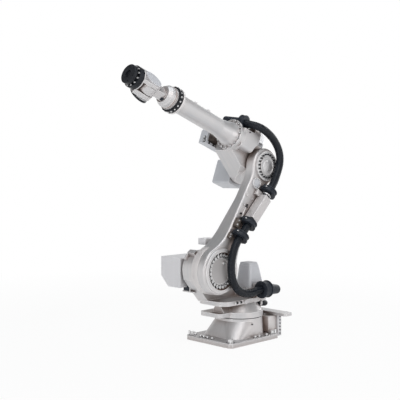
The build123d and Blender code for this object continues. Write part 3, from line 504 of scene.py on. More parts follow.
# %% Route of the hose
LOWER_ROUTE = [(-0.157, 0.196, 0.4383), (-0.022, 0.196, 0.4383), (0.035, 0.196, 0.422),
               (0.132, 0.196, 0.424), (0.216, 0.196, 0.458), (0.280, 0.196, 0.528),
               (0.310, 0.196, 0.614), (0.313, 0.196, 0.692), (0.298, 0.196, 0.764),
               (0.2595, 0.196, 0.8641), (0.196, 0.196, 0.9279)]
ARM_ROUTE = [(0.196, 0.196, 0.9279), (0.012, 0.196, 1.1131), (-0.1722, 0.196, 1.2982)]
UPPER_ROUTE = [(-0.1722, 0.196, 1.2982), (-0.2355, 0.196, 1.3618), (-0.2953, 0.196, 1.469),
               (-0.3313, 0.196, 1.559), (-0.3253, 0.196, 1.647), (-0.2793, 0.196, 1.725),
               (-0.2093, 0.196, 1.791), (-0.1293, 0.190, 1.841), (-0.0593, 0.174, 1.873),
               (-0.0291, 0.098, 1.8942), (-0.0156, 0.0106, 1.911)]
ROUTE_STEPS = 24


def route_curve(name, route):
    data = bpy.data.curves.new(name, "CURVE")
    data.dimensions = "3D"
    data.resolution_u = ROUTE_STEPS
    line = data.splines.new("NURBS")
    line.points.add(len(route) - 1)
    for point, place in zip(line.points, route):
        point.co = (*place, 1)
    line.order_u = 3
    line.use_endpoint_u = True
    made = bpy.data.objects.new(name, data)
    bpy.context.scene.collection.objects.link(made)
    return made


def centre_line(curve):
    """The points along a curve, and how long it is."""
    mesh = bpy.data.meshes.new_from_object(curve)
    line = [vertex.co.copy() for vertex in mesh.vertices]
    bpy.data.meshes.remove(mesh)
    return line, sum((after - before).length for before, after in zip(line, line[1:]))


print("hose routes of", len(LOWER_ROUTE), len(ARM_ROUTE), "and", len(UPPER_ROUTE), "points")

# %% [markdown]
# The hose's ribs show along its outline, so they are modelled and not only bumped. By hand one short ribbed
# sleeve would be extruded, repeated by an Array modifier and bent along the curve by a Curve modifier, and
# that is how it is made here.

# %% One rib, repeated along a curve
HOSE_RADIUS = 0.035
HOSE_RIB = 0.012
HOSE_SIDES = 28
RIB_HEIGHT = 0.0012
VALLEY_RADIUS = HOSE_RADIUS - RIB_HEIGHT
VALLEY_SHARE = 0.4
# share of a rib's length, and the radius at its end: up the flank, along the crest, down the flank
RIB_STEPS = [(0.12, HOSE_RADIUS), (0.36, HOSE_RADIUS), (0.12, VALLEY_RADIUS)]
MERGE_GAP = 0.0004
HOSE_SMOOTH = radians(50)
TINY = 1e-6


def to_object_mode():
    if bpy.context.mode != "OBJECT":
        bpy.ops.object.mode_set(mode="OBJECT")
    bpy.ops.object.select_all(action="DESELECT")


def make_active(piece):
    to_object_mode()
    piece.select_set(True)
    bpy.context.view_layer.objects.active = piece


def apply_modifier(piece, kind, **settings):
    make_active(piece)
    modifier = piece.modifiers.new(kind, kind)
    for key, value in settings.items():
        setattr(modifier, key, value)
    bpy.ops.object.modifier_apply(modifier=modifier.name)


def one_rib(name, rib):
    """A short open sleeve: the valley as a tube, then the rib extruded from its end."""
    to_object_mode()
    valley = rib * VALLEY_SHARE
    bpy.ops.mesh.primitive_cylinder_add(vertices=HOSE_SIDES, radius=VALLEY_RADIUS, depth=valley,
                                        end_fill_type="NOTHING", rotation=(0, pi / 2, 0),
                                        location=(valley / 2, 0, 0))
    piece = bpy.context.object
    piece.name = name
    bpy.ops.object.transform_apply(location=True, rotation=True, scale=True)
    bpy.ops.object.mode_set(mode="EDIT")
    bpy.ops.mesh.select_mode(type="VERT")
    radius = VALLEY_RADIUS
    reached = VALLEY_SHARE
    for share, wanted in RIB_STEPS:
        bpy.ops.mesh.select_all(action="DESELECT")
        bpy.ops.object.mode_set(mode="OBJECT")
        for vertex in piece.data.vertices:
            vertex.select = vertex.co.x > rib * reached - TINY
        bpy.ops.object.mode_set(mode="EDIT")
        bpy.ops.mesh.extrude_region_move(TRANSFORM_OT_translate={"value": (rib * share, 0, 0)})
        grow = wanted / radius
        end = (rib * (reached + share), 0, 0)
        bpy.ops.transform.resize(value=(1, grow, grow), center_override=end)
        reached += share
        radius = wanted
    return piece


def ribbed_hose(name, route):
    curve = route_curve(name + "_line", route)
    bpy.context.view_layer.update()
    line, length = centre_line(curve)
    count = round(length / HOSE_RIB)
    rib = length / count
    piece = one_rib(name, rib)
    apply_modifier(piece, "ARRAY", fit_type="FIXED_COUNT", count=count, use_relative_offset=False,
                   use_constant_offset=True, constant_offset_displace=(rib, 0, 0),
                   use_merge_vertices=True, merge_threshold=MERGE_GAP)
    apply_modifier(piece, "CURVE", object=curve, deform_axis="POS_X")
    make_active(piece)
    bpy.ops.object.shade_smooth_by_angle(angle=HOSE_SMOOTH)
    piece.data.materials.clear()
    piece.data.materials.append(rubber)
    bpy.data.objects.remove(curve)
    print(name, "is", round(length, 3), "m long with", count, "ribs")
    return piece


print("a rib every", HOSE_RIB, "m")

# %% [markdown]
# The stretch along the arm is clamped to it and rides on it. The other two cross a joint each.

# %% Hose
lower_hose = ribbed_hose("lower_hose", LOWER_ROUTE)
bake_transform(lower_hose)
arm_hose = ribbed_hose("arm_hose", ARM_ROUTE)
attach(arm_hose, "lower_arm")
upper_hose = ribbed_hose("upper_hose", UPPER_ROUTE)
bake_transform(upper_hose)
spans = {"hose_lower_span": lower_hose, "hose_arm_span": arm_hose, "hose_upper_span": upper_hose}
for node, piece in spans.items():
    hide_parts(node)

# %% [markdown]
# A small piece is modelled standing on its own zero plane, and then moved to its place for good. A place is
# a matrix whose Z points out of the surface. It could be found by trying, but a spot and a direction in the
# axes of the part that carries the piece say it exactly.

# %% Helpers that place pieces
SMOOTH_ANGLE = 40


def settle(piece, place, body, finish, angle=SMOOTH_ANGLE):
    """Leave a piece at its place for good, with its finish, riding on a body."""
    make_active(piece)
    piece.matrix_world = place @ piece.matrix_world
    bpy.ops.object.transform_apply(location=True, rotation=True, scale=True)
    bpy.ops.object.shade_smooth_by_angle(angle=radians(angle))
    piece.data.materials.clear()
    piece.data.materials.append(finish)
    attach(piece, body)
    return piece


def stand(axes_of, spot, toward):
    """A place at a spot of a frame, its Z along a direction of that frame."""
    turn = Vector(toward).to_track_quat("Z", "Y").to_matrix().to_4x4()
    return axes_of @ Matrix.Translation(spot) @ turn


def stand_all(axes_of, spots, toward):
    return [stand(axes_of, spot, toward) for spot in spots]


def circle(axes_of, centre, toward, radius, count, start=0.0):
    """Places spread over a circle."""
    middle = stand(axes_of, centre, toward)
    turns = [Matrix.Rotation(radians(start) + 2 * pi * i / count, 4, "Z") for i in range(count)]
    return [middle @ turn @ Matrix.Translation((radius, 0, 0)) for turn in turns]


def join(pieces):
    """Join pieces into the first of them."""
    to_object_mode()
    for piece in pieces:
        piece.select_set(True)
    bpy.context.view_layer.objects.active = pieces[0]
    bpy.ops.object.join()
    return pieces[0]


print("placing helpers ready")

# %% [markdown]
# Most small pieces on the arm are turned on a lathe or cut from a bar: discs, rings and blocks. A disc starts
# as a drum whose top is inset and raised in steps, a ring as an open tube that gets its wall from Solidify,
# and a block as a cube. A Bevel softens them all, because no real edge is sharp.

# %% Helpers for turned pieces and blocks
BEVEL_ANGLE = radians(35)
FACES_UP = 0.9
SAME_HEIGHT = 1e-5


def pick(piece, test):
    """Edit mode, with just those faces selected whose centre and normal pass the test."""
    make_active(piece)
    bpy.context.tool_settings.mesh_select_mode = (False, False, True)
    for part in (piece.data.vertices, piece.data.edges):
        for item in part:
            item.select = False
    for face in piece.data.polygons:
        face.select = test(face.center, face.normal)
    bpy.ops.object.mode_set(mode="EDIT")


def new_cylinder(radius, depth, sides, fill="NGON"):
    to_object_mode()
    bpy.ops.mesh.primitive_cylinder_add(vertices=sides, radius=radius, depth=depth, end_fill_type=fill,
                                        location=(0, 0, depth / 2))
    bpy.ops.object.transform_apply(location=True, rotation=True, scale=True)
    return bpy.context.object


def raise_top(piece, steps):
    """Inset the top face and push it up or down, step by step."""
    top = max(vertex.co.z for vertex in piece.data.vertices)
    pick(piece, lambda centre, normal: normal.z > FACES_UP and centre.z > top - SAME_HEIGHT)
    for inset, rise in steps:
        if inset:
            bpy.ops.mesh.inset(thickness=inset, depth=0)
        if rise:
            bpy.ops.mesh.extrude_region_move(TRANSFORM_OT_translate={"value": (0, 0, rise)})
    to_object_mode()
    return piece


def soften(piece, width, segments=2):
    apply_modifier(piece, "BEVEL", width=width, segments=segments, limit_method="ANGLE",
                   angle_limit=BEVEL_ANGLE)
    return piece


def stepped_disc(name, radius, height, steps, edge=0.0015, sides=64):
    """A turned disc: a drum whose top is inset and raised or sunk in steps."""
    piece = new_cylinder(radius, height, sides)
    piece.name = name
    raise_top(piece, steps)
    return soften(piece, edge)


def band(name, outer, inner, length, edge=0.002, sides=48):
    """A ring: an open tube that is thickened inwards."""
    piece = new_cylinder(outer, length, sides, "NOTHING")
    piece.name = name
    apply_modifier(piece, "SOLIDIFY", thickness=outer - inner, offset=-1.0, use_even_offset=True)
    return soften(piece, edge)


def rounded_block(name, size, edge, segments=3):
    """A block standing on its zero plane, with rounded edges."""
    to_object_mode()
    bpy.ops.mesh.primitive_cube_add(size=1.0, location=(0, 0, size[2] / 2))
    piece = bpy.context.object
    piece.name = name
    piece.scale = size
    bpy.ops.object.transform_apply(location=True, rotation=True, scale=True)
    return soften(piece, edge, segments)


print("turning helpers ready")

# %% [markdown]
# Bolts are what makes a casting look real, and there are many. Each kind is modelled once at its size and
# copied. The copies of one flange could stay separate objects, but joined into one piece, with their places
# in the mesh, they are easier to keep in order.

# %% Helpers for screws
SCREW_SIDES = 12
SCREW_SMOOTH = 30
WASHER_SIDES = 20
WASHER_HEIGHT = 0.0012


def cap_screw(radius, height):
    """Socket screw head: a short drum with a flat rim and a hole sunk in its top."""
    rim = (radius * 0.16, 0)
    hole = (radius * 0.32, -height * 0.6)
    return raise_top(new_cylinder(radius, height, SCREW_SIDES), [(0.0, height * 0.18), rim, hole])


def hex_bolt(radius, height):
    """Six-sided head on a washer."""
    washer = new_cylinder(radius * 1.3, height * 0.2, 24)
    raise_top(washer, [(radius * 0.25, height * 0.02)])
    head = new_cylinder(radius, height, 6)
    raise_top(head, [(0, height * 0.1), (radius * 0.14, 0)])
    return join([washer, head])


def copies(name, model, places, body, finish):
    """One piece of many copies of a model, which is used up."""
    made = []
    for place in places:
        copy = model.copy()
        copy.data = model.data.copy()
        copy.matrix_world = place
        bpy.context.scene.collection.objects.link(copy)
        made.append(copy)
    bpy.data.objects.remove(model)
    piece = join(made)
    piece.name = name
    print(name, len(made))
    return settle(piece, world_frame, body, finish, SCREW_SMOOTH)


def bright_screws(name, places, body, radius, height):
    return copies(name, cap_screw(radius, height), places, body, zinc)


def dark_screws(name, places, body, radius, height):
    return copies(name, cap_screw(radius, height), places, body, black_oxide)


def shade_washers(name, radius, places, body):
    """Thin dark washers under bright screws that paint the shade round their heads."""
    model = raise_top(new_cylinder(radius, WASHER_HEIGHT, WASHER_SIDES), [(radius * 0.2, WASHER_HEIGHT / 2)])
    return copies(name, model, places, body, black_oxide)


print("screw helpers ready")

# %% [markdown]
# The floor plate is held by a big bolt near each corner, with a levelling screw beside it, and a few smaller
# screws sit along its front and its left edge. The corners could be measured off the plate, but the record
# gives the floor bolts' places, so the bolts follow the holes.

# %% Base bolts
MM_PER_M = 1000
UP = (0, 0, 1)
PLATE_TOP = 0.042
LEVEL_OUT = (0.023, 0.021)
FRONT_SCREWS = [(0.366, y, PLATE_TOP) for y in (-0.115, -0.075, -0.03, 0.025)]
SIDE_SCREWS = [(x, 0.248, PLATE_TOP) for x in (0.06, 0.01, -0.09)]

mounts = {mount["name"]: mount for mount in frame["record"]["mounts"]}
pattern = mounts["floor_bolts"]
half_x = pattern["dims"]["spacing_x_mm"] / 2 / MM_PER_M
half_y = pattern["dims"]["spacing_y_mm"] / 2 / MM_PER_M
middle_x = pattern["pos_m"][0]


def at_corners(out_x, out_y):
    """Places near the plate's four corners, so far out from the middle of the bolts."""
    spots = [(middle_x + x * out_x, y * out_y, PLATE_TOP) for x in (-1, 1) for y in (-1, 1)]
    return stand_all(world_frame, spots, UP)


places = at_corners(half_x, half_y)
copies("floor_bolts", hex_bolt(radius=0.023, height=0.024), places, "base", zinc)
# painted shade: dark washers round the bolt heads
shade_washers("floor_shade_washers", 0.037, places, "base")
places = at_corners(half_x + LEVEL_OUT[0], half_y + LEVEL_OUT[1])
bright_screws("levelling_screws", places, "base", radius=0.010, height=0.030)
places = stand_all(world_frame, FRONT_SCREWS + SIDE_SCREWS, UP)
bright_screws("plate_screws", places, "base", radius=0.011, height=0.014)
# painted shade: dark washers round the screw heads
shade_washers("plate_shade_washers", 0.018, places, "base")

# %% [markdown]
# Small fittings break up the base: a lug with a screw on the drum, a housing under the tray, and a row of
# screws down each side of the box that carries the sockets. Blocks with rounded edges are enough for the lug
# and the housing, and the screws are placed from the box's own corners.

# %% Base fittings
LEFT = (0, 1, 0)
RIGHT = (0, -1, 0)
LUG_TURN = radians(73)
LUG_AT = (0.205, 0.142)
LUG_SCREW_AT = (0.221, 0.154)
SOCKET_SCREW_INSET = 0.027
FIRST_SOCKET_SCREW = 0.022
SOCKET_SCREW_STEP = 0.030
SOCKET_SCREW_ROWS = 6

lug_out = Vector((cos(LUG_TURN), sin(LUG_TURN), 0))


def on_drum(radius, height):
    return stand(world_frame, lug_out * radius + Vector((0, 0, height)), lug_out)


lug = rounded_block("drum_lug", size=(0.020, 0.046, 0.016), edge=0.004)
settle(lug, on_drum(*LUG_AT), "base", cast_paint)
dark_screws("drum_lug_screw", [on_drum(*LUG_SCREW_AT)], "base", radius=0.007, height=0.008)
housing = rounded_block("socket_housing", size=(0.108, 0.116, 0.142), edge=0.006)
settle(housing, stand(world_frame, (-0.234, 0.138, 0.045), UP), "base", pale_trim_paint)
socket_low, socket_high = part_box("socket_box")
strip_x = socket_low.x + SOCKET_SCREW_INSET
rows = [socket_low.z + FIRST_SOCKET_SCREW + SOCKET_SCREW_STEP * i for i in range(SOCKET_SCREW_ROWS)]
places = stand_all(world_frame, [(strip_x, socket_high.y, z) for z in rows], LEFT)
places += stand_all(world_frame, [(strip_x, socket_low.y, z) for z in rows], RIGHT)
dark_screws("socket_plate_screws", places, "base", radius=0.0055, height=0.005)

# %% [markdown]
# On the edge of the swivel's shelf dark and bright screws take turns. Behind the neck a dark drain plug sits in a
# collar. Under the shoulder motor is a small bracket with a post, and a black block between the bracket and the
# motor paints the shadow in the gap there. The tower has a lug. The plug is a turned shape, so it starts as a drum
# and its end is inset and raised.

# %% Swivel fittings
SHELF_FACE = 0.150
SHELF_MIDDLE = 0.350
DRAIN_WAY = (-1, 0, -0.12)
TOWER_RADIUS = 0.151
TOWER_LUG_TURN = radians(41)
TOWER_LUG_SIDE = -0.152


def on_shelf(stations):
    return stand_all(world_frame, [(x, SHELF_FACE, SHELF_MIDDLE) for x in stations], LEFT)


dark_screws("shelf_screws", on_shelf((0.193, 0.144)), "swivel", radius=0.0115, height=0.010)
places = on_shelf((0.2175, 0.1685, 0.090))
bright_screws("shelf_bright_screws", places, "swivel", radius=0.0105, height=0.010)
drain = stepped_disc("drain_plug", radius=0.027, height=0.105, steps=[(0.004, 0.012), (0.008, 0.010)],
                     edge=0.003, sides=32)
settle(drain, stand(world_frame, (-0.100, 0.130, 0.312), DRAIN_WAY), "swivel", black_steel)
collar = band("drain_collar", outer=0.034, inner=0.026, length=0.022)
settle(collar, stand(world_frame, (-0.112, 0.130, 0.310), DRAIN_WAY), "swivel", cast_paint)
bracket = rounded_block("motor_bracket", size=(0.070, 0.146, 0.012), edge=0.003)
settle(bracket, stand(world_frame, (0.412, -0.190, 0.430), UP), "swivel", bright_sheet)
post = rounded_block("motor_bracket_post", size=(0.050, 0.012, 0.070), edge=0.003)
settle(post, stand(world_frame, (0.420, -0.172, 0.438), UP), "swivel", bright_sheet)
tower_out = Vector((cos(TOWER_LUG_TURN), 0, sin(TOWER_LUG_TURN)))
tower_spot = shoulder + tower_out * TOWER_RADIUS + SIDE * TOWER_LUG_SIDE
tower_lug = rounded_block("tower_lug", size=(0.020, 0.052, 0.024), edge=0.004)
settle(tower_lug, stand(world_frame, tower_spot, tower_out), "swivel", bright_sheet)
# painted shadow: a black block fills the gap under the motor
gap_shade = rounded_block("motor_gap_shade", size=(0.056, 0.074, 0.058), edge=0.004)
settle(gap_shade, stand(world_frame, (0.416, -0.216, 0.440), UP), "swivel", black_plastic)

# %% [markdown]
# The small box above the shoulder tower sits on a narrower stem, so its underside shows. One block could be
# cut to that shape, but it is quicker to make a block for each and join the two. The result takes the place
# of the plain packed block.

# %% Tower box
BOX_HEIGHT = 0.055
STEM_SIDE = 0.050
STEM_INSET = 0.026
STEM_OVERLAP = 0.004

box_low, box_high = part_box("tower_box")
box_size = box_high - box_low
lid = rounded_block("tower_box_lid", size=(box_size.x, box_size.y, BOX_HEIGHT), edge=0.005)
lid.location = ((box_low.x + box_high.x) / 2, (box_low.y + box_high.y) / 2, box_high.z - BOX_HEIGHT)
stem_height = box_size.z - BOX_HEIGHT + STEM_OVERLAP
stem = rounded_block("tower_box_stem", size=(STEM_SIDE, STEM_SIDE, stem_height), edge=0.003)
stem.location = (box_low.x + STEM_INSET, box_high.y - STEM_INSET, box_low.z)
join([lid, stem])
settle(lid, world_frame, "swivel", pale_paint)
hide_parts("tower_box")
print("tower box", [round(v, 3) for v in box_size])

# %% [markdown]
# At the shoulder the arm's wide rim holds a bolted flange: a bright machined ring with socket screws, a plain lid
# in the middle with one plug, and round them a thin brown ring that paints the shade inside the rim's recess. A
# pale band round the hub behind it stands for the hub's turned rim, and its pale colour is a painted highlight on
# the rounded edge. The ring, the brown ring and the band are rings, and the lid is a drum with a sunk face.

# %% Shoulder flange
CAP_FACE = 0.132
RING_FACE = CAP_FACE + 0.009
PLUG_STEPS = [(0.003, 0.004), (0.004, -0.003)]

cap_place = stand(arm_frame, (0, CAP_FACE, 0), LEFT)
ring = band("shoulder_ring", outer=0.153, inner=0.117, length=RING_FACE - CAP_FACE, sides=72)
settle(ring, cap_place, "lower_arm", machined)
lid = stepped_disc("shoulder_lid", radius=0.115, height=0.006, steps=[(0.006, -0.002)])
settle(lid, cap_place, "lower_arm", bright_sheet)
places = circle(arm_frame, (0, RING_FACE, 0), LEFT, radius=0.136, count=24, start=7.5)
bright_screws("shoulder_screws", places, "lower_arm", radius=0.0115, height=0.012)
# painted shade: dark washers round the screw heads
shade_washers("shoulder_shade_washers", 0.0168, places, "lower_arm")
# painted shade: a thin brown ring in the recess stands for the shadow under the rim
recess_shade = band("shoulder_recess_shade", outer=0.1605, inner=0.154, length=0.004, edge=0.001, sides=72)
settle(recess_shade, cap_place, "lower_arm", recess_shade_brown)
# painted highlight: the pale band gives the hub's rounded edge its bright line
hub_highlight_band = band("hub_highlight_band", outer=0.2085, inner=0.203, length=0.070, edge=0.0015, sides=96)
settle(hub_highlight_band, stand(arm_frame, (0, -0.006, 0), LEFT), "lower_arm", pale_trim_paint)
plug = stepped_disc("shoulder_plug", radius=0.013, height=0.012, steps=PLUG_STEPS, edge=0.001, sides=24)
settle(plug, stand(arm_frame, (0.002, CAP_FACE, 0.073), LEFT), "lower_arm", zinc)

# %% [markdown]
# The elbow's outer cap is a machined disc with dark socket screws, a bright lip, a painted lid in the middle
# and a bright plug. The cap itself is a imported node, so only what stands on it is made here, in the arm's
# axes at the arm's full length.

# %% Elbow cap
ELBOW_CAP_FACE = 0.154

elbow_spot = (0, ELBOW_CAP_FACE, arm_length)
elbow_place = stand(arm_frame, elbow_spot, LEFT)
lip = band("elbow_cap_lip", outer=0.1335, inner=0.124, length=0.005, edge=0.0015, sides=72)
settle(lip, elbow_place, "lower_arm", bright_sheet)
lid = stepped_disc("elbow_cap_lid", radius=0.086, height=0.007, steps=[(0.008, -0.003), (0.030, 0.002)])
settle(lid, elbow_place, "lower_arm", cast_paint)
places = circle(arm_frame, elbow_spot, LEFT, radius=0.104, count=20, start=9.0)
dark_screws("elbow_cap_screws", places, "lower_arm", radius=0.0085, height=0.010)
plug = stepped_disc("elbow_plug", radius=0.012, height=0.014, steps=PLUG_STEPS, edge=0.001, sides=24)
settle(plug, stand(arm_frame, (0.032, ELBOW_CAP_FACE, arm_length + 0.031), LEFT), "lower_arm", zinc)

# %% [markdown]
# Below the elbow a round cover closes a hole in the arm, with a bright rim and small screws. A boss and a few
# screws, bright and dark, sit on the arm's face beside it. They are the same turned shapes as on the caps.

# %% Access cover and screws on the arm face
ACCESS_AT = (0.026, 0.150, 0.862)
ARM_FACE = 0.140


def on_arm_face(spots):
    return stand_all(arm_frame, [(x, ARM_FACE, z) for x, z in spots], LEFT)


rim = band("access_rim", outer=0.0495, inner=0.042, length=0.004, edge=0.0012)
settle(rim, stand(arm_frame, ACCESS_AT, LEFT), "lower_arm", bright_sheet)
places = circle(arm_frame, ACCESS_AT, LEFT, radius=0.036, count=6, start=15.0)
bright_screws("access_screws", places, "lower_arm", radius=0.0045, height=0.004)
boss = stepped_disc("arm_boss", radius=0.016, height=0.008, steps=[(0.004, -0.004)], sides=32)
settle(boss, stand(arm_frame, (0.078, ARM_FACE, 0.716), LEFT), "lower_arm", cast_paint)
places = on_arm_face([(-0.005, 0.717), (0.060, 0.622)])
bright_screws("arm_face_screws", places, "lower_arm", radius=0.008, height=0.009)
places = on_arm_face([(0.026, 0.638), (0.055, 0.535)])
dark_screws("arm_face_dark_screws", places, "lower_arm", radius=0.009, height=0.010)

# %% [markdown]
# Small feet stand on the arm's face beside the hose clamps, and a thin rail with a dark clip at each end runs up
# towards the elbow. They could be bent from sheet, but they are small, so a softened block for each is enough. The
# first two feet are dark brown, which paints the shade seen on them.

# %% Feet and rail on the arm face
FOOT_SCREW_SHIFT = 0.010
# x and z on the arm's face, then the foot's size
FOOT_SPOTS = [((0.062, 0.437), (0.050, 0.078, 0.030)), ((0.074, 0.302), (0.050, 0.046, 0.020))]

for number, ((x, z), size) in enumerate(FOOT_SPOTS, 1):
    foot = rounded_block("clamp_foot_%d" % number, size, edge=0.004)
    # painted shade: the brown of these feet stands for shade
    settle(foot, stand(arm_frame, (x, ARM_FACE, z), LEFT), "lower_arm", shade_brown)
    rises = (-size[1] / 4, size[1] / 4)
    spots = [(x + FOOT_SCREW_SHIFT, ARM_FACE + size[2], z + rise) for rise in rises]
    places = stand_all(arm_frame, spots, LEFT)
    bright_screws("clamp_foot_screws_%d" % number, places, "lower_arm", radius=0.008, height=0.008)
foot = rounded_block("clamp_foot_3", size=(0.064, 0.050, 0.034), edge=0.004)
settle(foot, stand(arm_frame, (-0.030, ARM_FACE, 0.792), LEFT), "lower_arm", bright_sheet)
rail = rounded_block("arm_rail", size=(0.010, 0.112, 0.008), edge=0.002)
settle(rail, stand(arm_frame, (0.029, ARM_FACE, 0.562), LEFT), "lower_arm", zinc)
clip = rounded_block("rail_clip", size=(0.020, 0.026, 0.013), edge=0.003)
places = on_arm_face([(0.025, 0.626), (0.035, 0.500)])
copies("rail_clips", clip, places, "lower_arm", black_oxide)

# %% [markdown]
# Every clamp grips the hose with a ring. A lip stands out at each of its ends, and on the arm an ear on each
# side takes a screw. The clamps differ only in place and size, so one function dresses them all, in a frame
# whose x runs along the hose.

# %% Clamps
LIP_RISE = 0.007
LIP_BORE = 0.037
LIP_LENGTH = 0.010
LIP_INSET = 0.004
EAR_WIDTH = 0.030
EAR_HEIGHT = 0.028
EAR_OUT = 0.004
EAR_SHARE = 0.7
EAR_SCREW_OUT = 0.008
CLAMP_HALF = 0.022
CLAMP_RADIUS = 0.066
BASE_CLAMP_HALF = 0.042
BASE_CLAMP_RADIUS = 0.070
ARM_CLAMPS = {"lower_clamp": 0.0, "middle_clamp": 0.28, "upper_clamp": 1.0}
BAND_SHARE = 0.905
FORWARD = (1, 0, 0)


def dress_clamp(name, axes_of, body, half, radius, ears):
    """Lips at both ends of a clamp, and ears with screws."""
    spots = [(side * (half - LIP_INSET) - LIP_LENGTH / 2, 0, 0) for side in (-1, 1)]
    lip = band(name + "_lip", outer=radius + LIP_RISE, inner=LIP_BORE, length=LIP_LENGTH)
    copies(name + "_lips", lip, stand_all(axes_of, spots, FORWARD), body, black_plastic)
    if ears:
        spots = [(0, -EAR_HEIGHT / 2, side * (radius + EAR_OUT)) for side in (-1, 1)]
        ear = rounded_block(name + "_ear", size=(2 * half * EAR_SHARE, EAR_WIDTH, EAR_HEIGHT), edge=0.004)
        copies(name + "_ears", ear, stand_all(axes_of, spots, LEFT), body, black_plastic)
        spots = [(0, EAR_HEIGHT / 2, side * (radius + EAR_SCREW_OUT)) for side in (-1, 1)]
        places = stand_all(axes_of, spots, LEFT)
        bright_screws(name + "_screws", places, body, radius=0.0075, height=0.008)


hose_low = Vector(ARM_ROUTE[0])
hose_high = Vector(ARM_ROUTE[-1])
along = (hose_high - hose_low).normalized()
for name, share in ARM_CLAMPS.items():
    clamp_frame = axes(hose_low.lerp(hose_high, share), along, SIDE)
    dress_clamp(name, clamp_frame, "lower_arm", CLAMP_HALF, CLAMP_RADIUS, True)
clamp_low, clamp_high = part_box("hose_base_clamp")
clamp_frame = axes((clamp_low + clamp_high) / 2, Vector(FORWARD), SIDE)
dress_clamp("base_clamp", clamp_frame, "swivel", BASE_CLAMP_HALF, BASE_CLAMP_RADIUS, False)
route_end = Vector(UPPER_ROUTE[-1])
hose_in = (route_end - Vector(UPPER_ROUTE[-2])).normalized()
across = hose_in.cross(Vector(UP)).normalized()
clamp_frame = axes(route_end - hose_in * CLAMP_HALF, hose_in, across)
dress_clamp("elbow_clamp", clamp_frame, "upper_arm", CLAMP_HALF, CLAMP_RADIUS, False)
end_band = band("hose_end_band", outer=0.041, inner=0.0345, length=0.014, edge=0.0015)
settle(end_band, stand(world_frame, hose_low.lerp(hose_high, BAND_SHARE), along), "lower_arm", zinc)

# %% [markdown]
# The forearm turns in a bolted root ring. At its other end a pale rim closes the tube, and a black ring with
# bright screws holds the wrist. Both circles are set out in the forearm's own axes, where x runs along the
# tube. The screws of the root ring point along the tube, and those of the black ring point out from it.

# %% Forearm rings
ROOT_RING_AT = 0.4057
WRIST_RING_AT = 1.132
WRIST_RING_RADIUS = 0.1085
WRIST_RING_SCREWS = 18
WRIST_RING_STEP = 20.0
WRIST_RING_START = 4.0


def on_tube(stations):
    return stand_all(forearm_frame, [(x, 0, 0) for x in stations], FORWARD)


places = circle(forearm_frame, (ROOT_RING_AT, 0, 0), FORWARD, radius=0.127, count=16, start=5.0)
bright_screws("root_ring_screws", places, "forearm", radius=0.0085, height=0.010)
# painted shade: dark washers round the screw heads
shade_washers("root_ring_shade_washers", 0.0115, places, "forearm")
places = []
for number in range(WRIST_RING_SCREWS):
    turn = radians(WRIST_RING_STEP * number + WRIST_RING_START)
    out = Vector((0, cos(turn), sin(turn)))
    spot = (WRIST_RING_AT, WRIST_RING_RADIUS * cos(turn), WRIST_RING_RADIUS * sin(turn))
    places.append(stand(forearm_frame, spot, out))
bright_screws("wrist_ring_screws", places, "forearm", radius=0.0075, height=0.005)
tube_rim = band("tube_end_rim", outer=0.1115, inner=0.090, length=0.012, sides=72)
settle(tube_rim, on_tube([1.092])[0], "forearm", pale_trim_paint)

# %% [markdown]
# Past the black ring the wrist's sleeve is turned in narrow steps: bright rims with brown lines between them that
# paint the shade of the steps, and two thin beads further on. A small dark plug closes a hole on the sleeve's
# underside. Thin rings laid on the imported sleeve catch the light as the turned steps do, and the brown ones
# paint their shade.

# %% Wrist sleeve
# painted shade: thin brown rings stand for the shadow lines between the turned steps
groove = band("sleeve_shade_line", outer=0.0945, inner=0.088, length=0.0035, edge=0.0008)
copies("sleeve_shade_lines", groove, on_tube([1.1585, 1.1705]), "forearm", recess_shade_brown)
block = rounded_block("sleeve_plug", size=(0.030, 0.030, 0.010), edge=0.002)
plug_place = stand(forearm_frame, (1.2465, -0.020, -0.042), (0, 0, -1))
settle(block, plug_place, "forearm", black_plastic)
rim = band("sleeve_rim", outer=0.0965, inner=0.090, length=0.005, edge=0.0015)
copies("sleeve_rims", rim, on_tube([1.152, 1.164]), "forearm", machined)
bead = band("sleeve_bead", outer=0.0925, inner=0.086, length=0.005, edge=0.0015)
copies("sleeve_beads", bead, on_tube([1.186, 1.200]), "forearm", machined)

# %% [markdown]
# The wrist has a ring of screws round the tool flange, a bright rim behind that ring, and a drum on one side
# with a dark edge, two dark grooves and a bright ring between them. The drum's pieces are rings about the
# axis on which the wrist bends.

# %% Wrist drum
FLANGE_RING_AT = 0.168


def on_drum_axis(stations):
    return stand_all(wrist_frame, [(0, y, 0) for y in stations], LEFT)


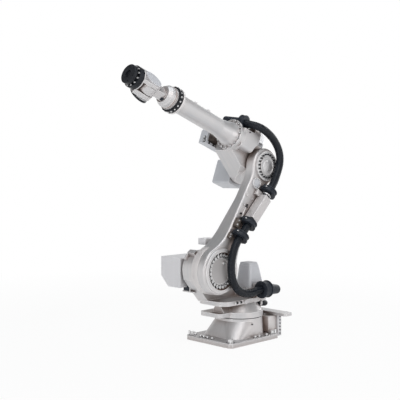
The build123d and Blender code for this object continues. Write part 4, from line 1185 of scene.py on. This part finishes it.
places = circle(wrist_frame, (FLANGE_RING_AT, 0, 0), FORWARD, radius=0.079, count=12)
bright_screws("roll_ring_screws", places, "wrist", radius=0.0075, height=0.010)
drum_edge = band("drum_edge", outer=0.0815, inner=0.060, length=0.015)
settle(drum_edge, on_drum_axis([-0.119])[0], "wrist", black_steel)
groove = band("drum_groove", outer=0.0818, inner=0.074, length=0.0045, edge=0.001)
copies("drum_grooves", groove, on_drum_axis([-0.1035, -0.0905]), "wrist", black_oxide)
drum_ring = band("drum_ring", outer=0.0825, inner=0.078, length=0.006, edge=0.0015)
settle(drum_ring, on_drum_axis([-0.098])[0], "wrist", machined)
barrel_rim = band("barrel_rim", outer=0.0915, inner=0.080, length=0.010)
settle(barrel_rim, stand(wrist_frame, (0.111, 0, 0), FORWARD), "wrist", bright_sheet)

# %% [markdown]
# The bracket of the wrist motor stands out beside the elbow. Two bright bolts hold its front plate and two
# dark ones its rail. A rib runs out under the elbow, and one dark screw sits on the housing. The places are
# in the upper arm's axes, so they keep to the bracket however the arm leans.

# %% Elbow bracket bolts
BRACKET_FRONT = 0.480
BRACKET_SIDE = -0.185
RIB_WAY = (-0.43, -0.80, -0.41)

spots = [(BRACKET_FRONT, y, z) for y, z in ((-0.209, 0.090), (-0.206, 0.060))]
places = stand_all(upper_frame, spots, FORWARD)
bright_screws("bracket_bolts", places, "upper_arm", radius=0.011, height=0.010)
# painted shade: dark washers round the bolt heads
shade_washers("bracket_shade_washers", 0.017, places, "upper_arm")
spots = [(x, BRACKET_SIDE, 0.051) for x in (0.385, 0.440)]
places = stand_all(upper_frame, spots, LEFT)
dark_screws("bracket_dark_bolts", places, "upper_arm", radius=0.008, height=0.008)
rib = rounded_block("elbow_rib", size=(0.010, 0.014, 0.116), edge=0.003)
settle(rib, stand(upper_frame, (0.128, -0.024, -0.097), RIB_WAY), "upper_arm", pale_trim_paint)
places = [stand(upper_frame, (0.286, 0.124, 0.205), LEFT)]
dark_screws("housing_screw", places, "upper_arm", radius=0.006, height=0.006)
